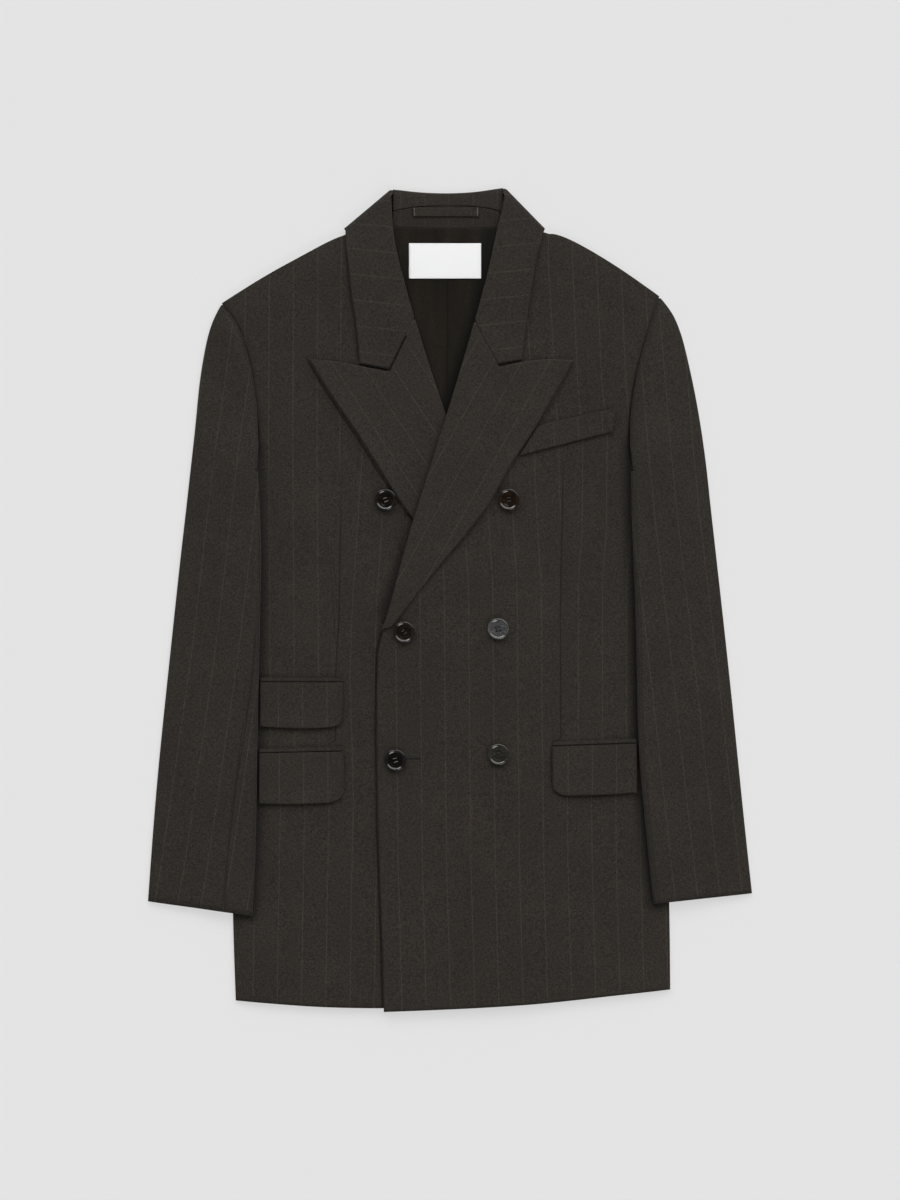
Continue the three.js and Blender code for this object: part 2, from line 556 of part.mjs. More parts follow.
function sleeveRows(side) {
  const { outer, fold, seam, side: sideTable } = SLEEVES[side];
  const heights = sleeveHeights(side);
  const { sign } = heights;
  const armhole = curve(sideTable);
  const outward = (point) => point.clone().add(new THREE.Vector2(sign * SEAM, 0));
  const at = (table, y) => new THREE.Vector2(crossing(table, y), y);
  const topY = outer[0][1];
  const caps = CAP_STATIONS.map((station, i) => {
    const point = outward(armhole.at(station));
    const outerY = mix(topY - 2.4, SLEEVE_LEVELS[0][0] + 16, i / (CAP_STATIONS.length - 1));
    return { outer: at(outer, outerY), inner: point, rear: point, under: null };
  });
  const levels = [...SLEEVE_LEVELS, CUFF[side]];
  const tubes = levels.map(([outerY, innerY], i) => {
    const outerPoint = at(outer, outerY);
    const foldPoint = at(fold, innerY);
    const inward = outerPoint.clone().sub(foldPoint).normalize();
    const seamShare = crossingShare(seam, innerY);
    const station = ARM_STATIONS[i];
    const sideX = sign * (heights.bodySide(innerY) + HIND_SEAM * smooth((i - HIND_ROWS[0]) / HIND_ROWS[1]));
    const square = new THREE.Vector2(sideX, innerY);
    const hind = foldPoint.clone().lerp(outerPoint, (sideX - foldPoint.x) / (outerPoint.x - foldPoint.x));
    const free = square.lerp(hind, smooth((i - ARM_STATIONS.length) / 2));
    const rear = station === undefined ? free : outward(armhole.at(station));
    return { outer: outerPoint, fold: foldPoint, inward, rear, seam: seamShare,
      inner: foldPoint.clone().addScaledVector(inward, i === 0 ? SEAM : seamShare + ROLL_OUT) };
  });
  return { caps, tubes, heights };
}

// Linear value of a short table of [y, value]
function crossingShare(table, y) {
  for (let i = 1; i < table.length; i += 1) {
    if (y >= table[i][0] || i === table.length - 1) {
      const [a, b] = [table[i - 1], table[i]];
      return mix(a[1], b[1], THREE.MathUtils.clamp((y - a[0]) / (b[0] - a[0]), 0, 1));
    }
  }
  return table[0][1];
}

function sleeve(side) {
  const { caps, tubes, heights } = sleeveRows(side);
  const topRows = [...caps, ...tubes].map(({ outer, inner, rear }) => {
    const inward = inner.clone().sub(outer).normalize();
    const reach = Math.min(ROLL_OUT, outer.distanceTo(inner) * NARROW_SHARE);
    const pivot = outer.clone().addScaledVector(inward, reach);
    const face = TOP_SHARES.map((s) => flatCell(inner.clone().lerp(pivot, s), heights.top));
    const pivotZ = STEP / 2 + WALL / 2;
    const fold = [...ROUND_ANGLES, Math.PI].map((angle) => {
      const round = foldCell(pivot, inward, pivotZ, angle);
      const squeeze = reach / ROLL_OUT;
      round.mid.x = mix(pivot.x, round.mid.x, squeeze);
      round.mid.y = mix(pivot.y, round.mid.y, squeeze);
      round.half.x *= squeeze;
      round.half.y *= squeeze;
      return round;
    });
    const below = [0.5, 1].map((s) => turnedCell(pivot.clone().lerp(rear, s), () => 0));
    return [...face, ...fold, ...below];
  });
  wall(`sleeve_${side}_top`, topRows, CLOTH);
  const underRows = tubes.slice(1).map(({ fold, inward, rear, seam }, i) => {
    const pivot = fold.clone().addScaledVector(inward, ROLL_OUT);
    const lip = fold.clone().addScaledVector(inward, seam + ROLL_OUT - SEAM);
    const pivotZ = heights.under(pivot.x, pivot.y) + WALL + LAY / 2;
    const round = ROUND_ANGLES.map((angle) => foldCell(pivot, inward, pivotZ, angle));
    const end = rear.clone().add(new THREE.Vector2(-heights.sign * 3 * SEAM, 0));
    const limit = pivot.clone().add(new THREE.Vector2(heights.sign * 4 * SEAM, 0));
    if (heights.sign * (end.x - limit.x) < 0) end.copy(limit);
    return [flatCell(lip, heights.top), flatCell(pivot, heights.top), ...round,
      ...[0, ...UNDER_SHARES].map((s) => turnedCell(pivot.clone().lerp(end, s), heights.under))];
  });
  wall(`sleeve_${side}_under`, underRows, CLOTH);
}

// Pockets
function band(name, upper, lower, foot, thickness, across, finish) {
  const [a, b] = upper.map((p) => new THREE.Vector2(...p));
  const [c, d] = lower.map((p) => new THREE.Vector2(...p));
  const high = steps(across).map((s) => a.clone().lerp(b, s));
  const low = steps(across).map((s) => c.clone().lerp(d, s));
  wall(name, [low, high].map((row) => row.map((p) => flatCell(p, foot, thickness))), finish);
}

// A flap hangs from its top line, with its free corner rounded and its lower edge sagging a little
const CORNER_SHARES = [1, 0.4, 0.12, 0];   // columns on the round corner, as shares of its radius

function flap(name, { from, to, top, drop, round, sag }, foot) {
  const width = Math.abs(to - from);
  const columns = [0, 0.2, 0.4, 0.6, 0.8, ...CORNER_SHARES.map((share) => 1 - share * round / width)];
  const depth = (s) => {
    const left = Math.min((1 - s) * width / round, 1);
    return drop - round * (1 - Math.sqrt(1 - (1 - left) ** 2)) + sag * Math.sin(Math.PI * s);
  };
  wall(name, steps(5).map((v) => columns.map((s) => {
    const y = mix(top[0], top[1], s) - v * depth(s);
    return flatCell({ x: mix(from, to, s), y }, foot, WALL);
  })), CLOTH);
}

function pockets() {
  const names = { ticket: ['ticket_welt', 'ticket_flap'], right: ['pocket_welt_right', 'pocket_flap_right'],
    left: ['pocket_welt_left', 'pocket_flap_left'] };
  for (const [key, pocket] of Object.entries(POCKETS)) {
    const foot = (x, y) => PANEL[pocket.panel].top(x, y) + LAY;
    band(names[key][0], pocket.upper, pocket.lower, foot, WELT_WALL, 9, CLOTH);
    flap(names[key][1], pocket.flap, foot);
  }
  const foot = (x, y) => overTop(x, y) + LAY;
  const rows = steps(3).map((v) => {
    const [a, b] = [0, 1].map((i) => new THREE.Vector2(...CHEST_WELT.lower[i])
      .lerp(new THREE.Vector2(...CHEST_WELT.upper[i]), v));
    return steps(9).map((s) => flatCell(a.clone().lerp(b, s), foot, WELT_WALL));
  });
  wall('chest_welt', rows, CLOTH);
}

// Buttons: a turned disc with a raised rim and four holes
function solidOf(geometry) {
  geometry.deleteAttribute('normal');
  geometry.deleteAttribute('uv');
  const merged = BufferGeometryUtils.mergeVertices(geometry, 1e-4);
  const vertProperties = new Float32Array(merged.attributes.position.array);
  const triVerts = new Uint32Array(merged.index.array);
  return new wasm.Manifold(new wasm.Mesh({ numProp: 3, vertProperties, triVerts }));
}

function buttonGeometry() {
  const { radius, rim, height, dish, hole, spread, sides } = BUTTON;
  const floor = height - dish;
  const section = [[0, 0], [radius * 0.72, 0], [radius, height * 0.45], [radius - rim * 0.25, height * 0.9],
    [radius - rim * 0.7, height], [radius - rim * 1.5, height - dish * 0.6], [radius - rim * 2.3, floor],
    [0, floor]];
  const profile = section.map(([x, y]) => new THREE.Vector2(x, y));
  let solid = solidOf(new THREE.LatheGeometry(profile, sides).rotateX(Math.PI / 2));
  for (const [sx, sy] of [[1, 1], [1, -1], [-1, 1], [-1, -1]]) {
    const bore = new THREE.CylinderGeometry(hole, hole, 3 * height, 6).rotateX(Math.PI / 2);
    solid = solid.subtract(solidOf(bore.translate(sx * spread, sy * spread, 0)));
  }
  const { vertProperties, triVerts } = solid.getMesh();
  const geometry = new THREE.BufferGeometry();
  geometry.setAttribute('position', new THREE.Float32BufferAttribute(vertProperties, 3));
  geometry.setIndex([...triVerts]);
  return geometry;
}

function buttons() {
  const shape = buttonGeometry();
  BUTTONS.forEach(([x, y], i) => {
    const panel = i === 0 ? underTop : overTop;
    const around = steps(7).map((s) => 2 * Math.PI * s);
    const highest = Math.max(panel(x, y), ...around.map((a) =>
      panel(x + BUTTON.radius * 0.75 * Math.cos(a), y + BUTTON.radius * 0.75 * Math.sin(a))));
    add(`button_${i + 1}`, shape.clone().translate(x, y, highest + SEAM), HORN);
  });
}

for (const side of ['left', 'right']) {
  back(side);
  front(side);
  lapel(side);
  sleeve(side);
}
collarLeaf();
collarStand();
neckInside();
pockets();
buttons();

export default blazer;
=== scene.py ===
"""Looks of a double breasted blazer that lies flat on its back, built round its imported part.

The garment lies on the floor with its hem towards -Y and its fronts up. X runs to the viewer's right,
which is the wearer's left. Sizes in the classes are millimetres, and meshes are metres.
"""

from __future__ import annotations

import logging
import math
from dataclasses import dataclass, field
from enum import Enum
import bmesh
import bpy
import numpy as np
from mathutils import Matrix, Vector
from mathutils.bvhtree import BVHTree


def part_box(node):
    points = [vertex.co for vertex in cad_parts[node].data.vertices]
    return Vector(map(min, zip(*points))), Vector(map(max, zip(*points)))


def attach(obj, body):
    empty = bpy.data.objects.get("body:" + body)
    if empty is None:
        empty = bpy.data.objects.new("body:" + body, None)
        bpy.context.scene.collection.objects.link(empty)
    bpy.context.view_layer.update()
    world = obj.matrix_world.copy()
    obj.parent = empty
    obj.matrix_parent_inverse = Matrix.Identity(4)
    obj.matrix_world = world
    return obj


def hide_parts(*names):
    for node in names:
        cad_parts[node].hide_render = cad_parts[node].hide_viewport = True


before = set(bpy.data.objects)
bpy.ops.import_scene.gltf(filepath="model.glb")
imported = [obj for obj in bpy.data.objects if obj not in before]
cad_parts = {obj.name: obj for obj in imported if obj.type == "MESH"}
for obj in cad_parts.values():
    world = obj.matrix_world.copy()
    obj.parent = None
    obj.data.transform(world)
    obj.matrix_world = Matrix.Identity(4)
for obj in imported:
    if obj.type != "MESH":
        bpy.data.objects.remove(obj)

log = logging.getLogger("blazer")

MM = 0.001
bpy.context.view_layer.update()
STRIPE_PITCH = 24.2
Table = tuple[tuple[float, ...], ...]


class Wearer(Enum):
    """The wearer's sides. LEFT is at +X."""

    LEFT = "left"
    RIGHT = "right"


class Slot(Enum):
    """Kinds of finish, as given to the pieces and the stitches."""

    SUITING = "suiting"
    LINING = "lining"
    LABEL = "label"
    BUTTON = "button"


def smooth(x: np.ndarray | float) -> np.ndarray | float:
    """Cubic step from 0 to 1."""
    t = np.clip(x, 0.0, 1.0)
    return t * t * (3.0 - 2.0 * t)


def read_table(y: np.ndarray, table: Table) -> np.ndarray:
    """Reads x from a short table.

    Args:
        y: Heights up the garment in millimetres.
        table: Rows of (y, x) from the top down.

    Returns:
        x at each height, with straight stretches between the rows.
    """
    rows = np.array(sorted(table))
    return np.interp(y, rows[:, 0], rows[:, 1])


# Meshes and objects


def place_object(name: str, data: bpy.types.ID) -> bpy.types.Object:
    """Puts a new object with its data in the scene."""
    made = bpy.data.objects.new(name, data)
    bpy.context.scene.collection.objects.link(made)
    return made


def mesh_from(shape: bmesh.types.BMesh, name: str) -> bpy.types.Mesh:
    """Turns an edited shape into a mesh, and frees it."""
    mesh = bpy.data.meshes.new(name)
    shape.to_mesh(mesh)
    shape.free()
    return mesh


def applied(thing: bpy.types.Object) -> bpy.types.Mesh:
    """The mesh of an object with its modifiers carried out."""
    return bpy.data.meshes.new_from_object(thing.evaluated_get(bpy.context.evaluated_depsgraph_get()))


def points_of(mesh: bpy.types.Mesh) -> np.ndarray:
    """The points of a mesh, as rows of x, y and z in millimetres."""
    points = np.empty(3 * len(mesh.vertices))
    mesh.vertices.foreach_get("co", points)
    return points.reshape(-1, 3) / MM


# Node trees


@dataclass
class NodeBench:
    """Places nodes in a tree and joins them.

    Attributes:
        tree: The node tree that is built.
    """

    tree: bpy.types.NodeTree

    def put(self, kind: str, **settings: object) -> bpy.types.Node:
        """Adds a node and sets its properties."""
        node = self.tree.nodes.new(kind)
        for key, value in settings.items():
            setattr(node, key, value)
        return node

    def join(self, source: bpy.types.NodeSocket, target: bpy.types.NodeSocket) -> None:
        """Links two sockets."""
        self.tree.links.new(source, target)

    def feed(self, node: bpy.types.Node, **inputs: object) -> bpy.types.Node:
        """Sets or links inputs by name, with underscores for spaces.

        Args:
            node: The node whose inputs are set.
            **inputs: Sockets to link, or plain values. Names as a0 or a1 mean inputs by number.

        Returns:
            The same node.
        """
        for key, value in inputs.items():
            by_number = key[0] == "a" and key[1:].isdigit()
            socket = node.inputs[int(key[1:])] if by_number else node.inputs[key.replace("_", " ")]
            if isinstance(value, bpy.types.NodeSocket):
                self.join(value, socket)
            else:
                socket.default_value = value
        return node

    def sum_of(self, operation: str, first: object, second: object = 0.0,
               clamp: bool = False) -> bpy.types.NodeSocket:
        """A Math node on two values or sockets, and its output."""
        node = self.put("ShaderNodeMath", operation=operation, use_clamp=clamp)
        return self.feed(node, a0=first, a1=second).outputs[0]

    def scaled(self, value: object, gain: float, base: float) -> bpy.types.NodeSocket:
        """The output gain * value + base."""
        node = self.put("ShaderNodeMath", operation="MULTIPLY_ADD")
        return self.feed(node, a0=value, a1=gain, a2=base).outputs[0]

    def use(self, group: bpy.types.NodeTree, **inputs: object) -> bpy.types.Node:
        """Places a shader group and feeds its inputs."""
        return self.feed(self.put("ShaderNodeGroup", node_tree=group), **inputs)

    def over(self, value: object, start: float, gain: float) -> bpy.types.NodeSocket:
        """How far a value is past its start, times a gain and kept from 0 to 1."""
        return self.sum_of("MULTIPLY", self.sum_of("SUBTRACT", value, start), gain, clamp=True)

    def place(self) -> bpy.types.NodeSocket:
        """The piece's own coordinates in metres."""
        return self.put("ShaderNodeTexCoord").outputs["Object"]

    def noise(self, place: bpy.types.NodeSocket, **values: float) -> bpy.types.NodeSocket:
        """Noise from about 0 to 1 at a place, with its values by name."""
        node = self.put("ShaderNodeTexNoise", noise_dimensions="3D")
        return self.feed(node, Vector=place, **values).outputs["Fac"]

    def lift(self, shader: bpy.types.Node, height: bpy.types.NodeSocket, strength: float,
             depth: float) -> None:
        """Raises the surface of a shader by a height field.

        Args:
            shader: The Principled BSDF.
            height: The field, about 0 to 1.
            strength: How much of it shows.
            depth: How high 1 stands, in metres.
        """
        bump = self.feed(self.put("ShaderNodeBump"), Strength=strength, Distance=depth, Height=height)
        self.join(bump.outputs[0], shader.inputs["Normal"])

    def blend(self, share: object, first: object, second: object, kind: str = "MIX") -> bpy.types.NodeSocket:
        """A colour mix, and its output."""
        node = self.put("ShaderNodeMix", data_type="RGBA", blend_type=kind)
        self.feed(node, a0=share, a6=first, a7=second)
        return node.outputs[2]

    def toned(self, colour: bpy.types.NodeSocket, tone: bpy.types.NodeSocket) -> bpy.types.NodeSocket:
        """A colour times a grey tone."""
        grey = self.feed(self.put("ShaderNodeCombineXYZ"), a0=tone, a1=tone, a2=tone)
        return self.blend(1.0, colour, grey.outputs[0], "MULTIPLY")


def group_of(name: str, inputs: dict[str, tuple[str, object]], outputs: dict[str, str]) -> NodeBench:
    """A new shader group with named sockets.

    Args:
        name: Name of the group.
        inputs: Socket kind and first value, by name.
        outputs: Socket kind, by name.

    Returns:
        A bench on the group's tree. Its input node is "In" and its output node is "Out".
    """
    tree = bpy.data.node_groups.new(name, "ShaderNodeTree")
    for socket, (kind, value) in inputs.items():
        made = tree.interface.new_socket(socket, in_out="INPUT", socket_type=kind)
        if value is not None:
            made.default_value = value
    for socket, kind in outputs.items():
        tree.interface.new_socket(socket, in_out="OUTPUT", socket_type=kind)
    bench = NodeBench(tree)
    bench.put("NodeGroupInput", name="In")
    bench.put("NodeGroupOutput", name="Out")
    return bench


FLOAT, VECTOR = "NodeSocketFloat", "NodeSocketVector"


def weave_group() -> bpy.types.NodeTree:
    """The woven ground: crossing threads, slubs and the mixed colours of the yarn.

    Returns:
        A group with outputs Shade (about 0 to 1) and Height.
    """
    bench = group_of(
        "woven_ground",
        {"Place": (VECTOR, None), "Threads per metre": (FLOAT, 1500.0), "Slub": (FLOAT, 0.5)},
        {"Shade": FLOAT, "Height": FLOAT},
    )
    into, out = bench.tree.nodes["In"], bench.tree.nodes["Out"]
    place, threads = into.outputs["Place"], into.outputs["Threads per metre"]
    bands = []
    for axis in ("X", "Y"):
        wave = bench.put("ShaderNodeTexWave", wave_type="BANDS", bands_direction=axis)
        scale = bench.sum_of("MULTIPLY", threads, 0.05)
        bench.feed(wave, Vector=place, Scale=scale, Distortion=1.2, Detail=2.0, Detail_Scale=1.5)
        bands.append(wave.outputs["Fac"])
    cross = bench.sum_of("MAXIMUM", *bands)
    stretched = []
    for stretch in ((1.0, 0.30, 1.0), (0.30, 1.0, 1.0)):
        turn = bench.feed(bench.put("ShaderNodeMapping"), Vector=place, Scale=stretch)
        scale = bench.sum_of("MULTIPLY", threads, 0.78)
        stretched.append(bench.noise(turn.outputs[0], Scale=scale, Detail=2.0))
    yarn = bench.sum_of("MULTIPLY", bench.sum_of("ADD", *stretched), 0.5)
    mixed = bench.sum_of("MULTIPLY", bench.sum_of("SUBTRACT", yarn, 0.5), into.outputs["Slub"])
    bench.join(bench.sum_of("ADD", mixed, 0.5), out.inputs["Shade"])
    height = bench.sum_of("MULTIPLY", cross, 0.35)
    bench.join(bench.sum_of("ADD", height, bench.sum_of("MULTIPLY", yarn, 0.9)), out.inputs["Height"])
    return bench.tree


def pinstripe_group() -> bpy.types.NodeTree:
    """A fine stripe at each whole number of the first coordinate, broken up as yarn is.

    Returns:
        A group with the output Mask.
    """
    bench = group_of(
        "pinstripe",
        {"Across": (FLOAT, 0.0), "Width": (FLOAT, 0.04), "Place": (VECTOR, None), "Broken": (FLOAT, 0.5)},
        {"Mask": FLOAT},
    )
    into, out = bench.tree.nodes["In"], bench.tree.nodes["Out"]
    shifted = bench.sum_of("ADD", into.outputs["Across"], 0.5)
    off = bench.sum_of("ABSOLUTE", bench.sum_of("SUBTRACT", bench.sum_of("FRACT", shifted), 0.5))
    share = bench.sum_of("DIVIDE", off, into.outputs["Width"])
    line = bench.sum_of("SUBTRACT", 1.0, share, clamp=True)
    noise = bench.noise(into.outputs["Place"], Scale=420.0, Detail=2.0)
    dots = bench.over(noise, 0.36, 4.0)
    missing = bench.sum_of("MULTIPLY", bench.sum_of("SUBTRACT", 1.0, dots), into.outputs["Broken"])
    bench.join(bench.sum_of("MULTIPLY", line, bench.sum_of("SUBTRACT", 1.0, missing)), out.inputs["Mask"])
    return bench.tree


def fold_line_group() -> bpy.types.NodeTree:
    """A line mask where a distance attribute passes through nought; the materials also lower it in their
    bump. They paint it dark: seam lines, and painted shade and painted shadows beside folds and edges.

    Returns:
        A group with the output Mask.
    """
    bench = group_of(
        "seam_and_shade_line", {"Distance": (FLOAT, 1.0), "Half width": (FLOAT, 0.6)}, {"Mask": FLOAT}
    )
    into, out = bench.tree.nodes["In"], bench.tree.nodes["Out"]
    distance = bench.sum_of("ABSOLUTE", into.outputs["Distance"])
    share = bench.sum_of("DIVIDE", distance, into.outputs["Half width"])
    bench.join(bench.sum_of("SUBTRACT", 1.0, share, clamp=True), out.inputs["Mask"])
    return bench.tree


@dataclass
class Finishes:
    """The shader groups that the finishes share, each built once.

    Attributes:
        weave: The woven ground.
        stripe: The pinstripe.
        line: The line mask of seams and darts, and of painted shade and painted shadows beside folds and
            edges.
    """

    weave: bpy.types.NodeTree = field(default_factory=weave_group)
    stripe: bpy.types.NodeTree = field(default_factory=pinstripe_group)
    line: bpy.types.NodeTree = field(default_factory=fold_line_group)


def new_material(name: str) -> tuple[bpy.types.Material, NodeBench, bpy.types.Node]:
    """A material with a bare Principled BSDF.

    Args:
        name: Name of the material.

    Returns:
        The material, a bench on its tree and the shader node.
    """
    material = bpy.data.materials.new(name)
    material.use_nodes = True
    bench = NodeBench(material.node_tree)
    return material, bench, material.node_tree.nodes["Principled BSDF"]


@dataclass(frozen=True)
class Suiting:
    """Dark brown-grey worsted with a fine cream pinstripe.

    Attributes:
        name: Name of the material.
        ground: Linear colour of the darker yarn.
        fleck: Linear colour of the lighter yarn.
        stripe: Linear colour of the pinstripe.
        stripe_share: How strongly the stripe covers the ground.
        stripe_width: Half width of the stripe in stripe pitches.
        sheen: Weight of the soft sheen of its nap.
    """

    name: str = "suiting"
    ground: tuple[float, ...] = (0.0102, 0.0079, 0.0060, 1.0)
    fleck: tuple[float, ...] = (0.0280, 0.0224, 0.0173, 1.0)
    stripe: tuple[float, ...] = (0.100, 0.096, 0.058, 1.0)
    stripe_share: float = 0.23
    stripe_width: float = 0.034
    sheen: float = 0.10

    def material(self, shared: Finishes) -> bpy.types.Material:
        """Builds the material. It reads the UV map "cut" and the attribute "sunk", and paints the base colour
        dark along seams and darts and as painted shade and painted shadows beside folds, edges and a slit.
        """
        material, bench, shader = new_material(self.name)
        place = bench.place()
        cut = bench.put("ShaderNodeUVMap", uv_map="cut").outputs[0]
        across = bench.feed(bench.put("ShaderNodeSeparateXYZ"), a0=cut).outputs[0]
        weave = bench.use(shared.weave, Place=place, Threads_per_metre=1850.0, Slub=4.6)
        stripe = bench.use(shared.stripe, Across=across, Width=self.stripe_width, Place=place, Broken=0.55)
        cloud = bench.noise(place, Scale=17.0, Detail=4.0, Roughness=0.55)
        ground = bench.blend(weave.outputs["Shade"], self.ground, self.fleck)
        hue = bench.noise(place, Scale=230.0, Detail=2.0)
        warm = bench.over(hue, 0.35, 1.1)
        ground = bench.blend(warm, ground, bench.blend(1.0, ground, (0.94, 0.99, 0.90, 1.0), "MULTIPLY"))
        ground = bench.toned(ground, bench.scaled(cloud, 0.52, 0.76))
        mask = bench.sum_of("MULTIPLY", stripe.outputs["Mask"], self.stripe_share)
        striped = bench.blend(mask, ground, self.stripe)
        # Painted shade: the base colour is darkened towards near black along the seam and shade lines, which
        # stand for seams and darts and for shade and shadows beside folds, edges and a slit.
        seams_and_painted_shade = bench.put("ShaderNodeAttribute", attribute_name="seams_and_painted_shade").outputs["Fac"]
        line = bench.use(shared.line, Distance=seams_and_painted_shade, Half_width=1.25)
        dark = bench.sum_of("MULTIPLY", line.outputs["Mask"], 0.85)
        bench.join(bench.blend(dark, striped, (0.004, 0.0035, 0.003, 1.0)), shader.inputs["Base Color"])
        bench.join(bench.scaled(weave.outputs["Shade"], -0.12, 0.92), shader.inputs["Roughness"])
        ridge = bench.sum_of("MULTIPLY", stripe.outputs["Mask"], 0.3)
        raised = bench.sum_of("ADD", weave.outputs["Height"], ridge)
        raised = bench.sum_of("SUBTRACT", raised, bench.sum_of("MULTIPLY", line.outputs["Mask"], 3.0))
        bench.lift(shader, raised, 0.55, 0.00022)
        bench.feed(shader, Specular_IOR_Level=0.22, Sheen_Weight=self.sheen, Sheen_Roughness=0.45)
        return material


@dataclass(frozen=True)
class LiningTwill:
    """Smooth dark lining with a fine diagonal and a soft lustre.

    Attributes:
        base: Linear colour of its ground.
        light: Linear colour of its raised threads.
    """

    base: tuple[float, ...] = (0.0054, 0.0041, 0.0022, 1.0)
    light: tuple[float, ...] = (0.0136, 0.0106, 0.0065, 1.0)

    def material(self, shared: Finishes) -> bpy.types.Material:
        """Builds the material. It reads the attribute "sunk" and paints shade into the pleat's fold and
        painted shadows beside the lapels' edges.
        """
        material, bench, shader = new_material("lining_twill")
        place = bench.place()
        turned = bench.feed(bench.put("ShaderNodeMapping"), Vector=place, Rotation=(0.0, 0.0, 0.95))
        wave = bench.put("ShaderNodeTexWave", wave_type="BANDS", bands_direction="X")
        bench.feed(wave, Vector=turned.outputs[0], Scale=110.0, Distortion=0.6, Detail=2.0)
        weave = bench.use(shared.weave, Place=place, Threads_per_metre=1500.0, Slub=2.4)
        colour = bench.blend(weave.outputs["Shade"], self.base, self.light)
        upright = bench.feed(bench.put("ShaderNodeMapping"), Vector=place, Scale=(1.0, 0.16, 1.0))
        tone = bench.scaled(bench.noise(upright.outputs[0], Scale=85.0, Detail=3.0), 1.8, 0.03)
        colour = bench.toned(colour, tone)
        # Painted shade in the pleat's fold and painted shadows from the lapels darken the base colour.
        seams_and_painted_shade = bench.put("ShaderNodeAttribute", attribute_name="seams_and_painted_shade").outputs["Fac"]
        line = bench.use(shared.line, Distance=seams_and_painted_shade, Half_width=1.5)
        dark = bench.sum_of("MULTIPLY", line.outputs["Mask"], 1.2, clamp=True)
        bench.join(bench.blend(dark, colour, (0.003, 0.003, 0.002, 1.0)), shader.inputs["Base Color"])
        bench.lift(shader, wave.outputs["Fac"], 0.3, 0.0001)
        bench.join(bench.scaled(wave.outputs["Fac"], 0.08, 0.52), shader.inputs["Roughness"])
        bench.feed(shader, Specular_IOR_Level=0.12, Sheen_Weight=0.02, Sheen_Roughness=0.3)
        return material


@dataclass(frozen=True)
class LabelSatin:
    """Bare white woven label.

    Attributes:
        base: Linear colour of its ground.
        thread: Linear colour of its raised threads.
    """

    base: tuple[float, ...] = (0.81, 0.81, 0.815, 1.0)
    thread: tuple[float, ...] = (0.87, 0.87, 0.875, 1.0)

    def material(self, shared: Finishes) -> bpy.types.Material:
        """Builds the material."""
        material, bench, shader = new_material("label_satin")
        place = bench.place()
        weave = bench.use(shared.weave, Place=place, Threads_per_metre=2600.0, Slub=1.6)
        bench.join(bench.blend(weave.outputs["Shade"], self.base, self.thread), shader.inputs["Base Color"])
        bench.lift(shader, weave.outputs["Height"], 0.35, 0.0001)
        bench.join(bench.scaled(weave.outputs["Shade"], 0.12, 0.5), shader.inputs["Roughness"])
        bench.feed(shader, Sheen_Weight=0.1, Sheen_Roughness=0.4)
        return material


@dataclass(frozen=True)
class Horn:
    """Polished dark horn for one button.

    Attributes:
        name: Name of the material.
        dark: Linear colour of the body of the horn.
        vein: Linear colour of its paler veins.
        drift: Where the veins are read, so that no two buttons are alike.
    """

    name: str
    dark: tuple[float, ...]
    vein: tuple[float, ...]
    drift: float

    def material(self) -> bpy.types.Material:
        """Builds the material."""
        material, bench, shader = new_material(self.name)
        place = bench.place()
        moved = bench.feed(bench.put("ShaderNodeMapping"), Vector=place, Location=(self.drift, 0.0, 0.0),
                           Rotation=(0.0, 0.0, 7.0 * self.drift), Scale=(1.0, 2.6, 1.0))
        noise = bench.noise(moved.outputs[0], Scale=130.0, Detail=5.0, Distortion=1.6)
        veins = bench.over(noise, 0.47, 5.0)
        bench.join(bench.blend(veins, self.dark, self.vein), shader.inputs["Base Color"])
        scuff = bench.noise(place, Scale=900.0, Detail=3.0)
        bench.join(bench.scaled(scuff, 0.10, 0.08), shader.inputs["Roughness"])
        bench.lift(shader, noise, 0.12, 0.0001)
        bench.feed(shader, Coat_Weight=0.15, Coat_Roughness=0.05, IOR=1.46)
        return material


@dataclass(frozen=True)
class SewingThread:
    """Twisted sewing thread.

    Attributes:
        name: Name of the material.
        colour: Linear colour in its grooves.
        light: Linear colour of its strands.
    """

    name: str
    colour: tuple[float, ...]
    light: tuple[float, ...]

    def material(self) -> bpy.types.Material:
        """Builds the material."""
        material, bench, shader = new_material(self.name)
        place = bench.place()
        wave = bench.put("ShaderNodeTexWave", wave_type="BANDS", bands_direction="DIAGONAL")
        bench.feed(wave, Vector=place, Scale=520.0, Distortion=0.8)
        bench.join(bench.blend(wave.outputs["Fac"], self.colour, self.light), shader.inputs["Base Color"])
        bench.lift(shader, wave.outputs["Fac"], 0.5, 0.0001)
        bench.join(bench.scaled(wave.outputs["Fac"], 0.15, 0.5), shader.inputs["Roughness"])
        bench.feed(shader, Sheen_Weight=0.2, Sheen_Roughness=0.4)
        return material


# How the stripes run


@dataclass(frozen=True)
class Course:
    """Stripes that follow a line down the cloth.

    Attributes:
        line: Rows of (y, x) that one stripe passes through.
        pitch: Distance between stripes across the garment.
    """

    line: Table
    pitch: float = STRIPE_PITCH

    def across(self, x: np.ndarray, y: np.ndarray) -> np.ndarray:
        """Stripe number at each point, with a whole number on each stripe."""
        return (x - read_table(y, self.line)) / self.pitch


@dataclass(frozen=True)
class Slant:
    """Straight stripes through a point.

    Attributes:
        origin: A point on one stripe.
        turn: Degrees from straight down, more where the stripe leans to the right on its way down.
        pitch: Distance between stripes.
    """

    origin: tuple[float, float]
    turn: float
    pitch: float = STRIPE_PITCH

    def across(self, x: np.ndarray, y: np.ndarray) -> np.ndarray:
        """Stripe number at each point."""
        angle = math.radians(self.turn)
        away = (x - self.origin[0]) * math.cos(angle) + (y - self.origin[1]) * math.sin(angle)
        return away / self.pitch


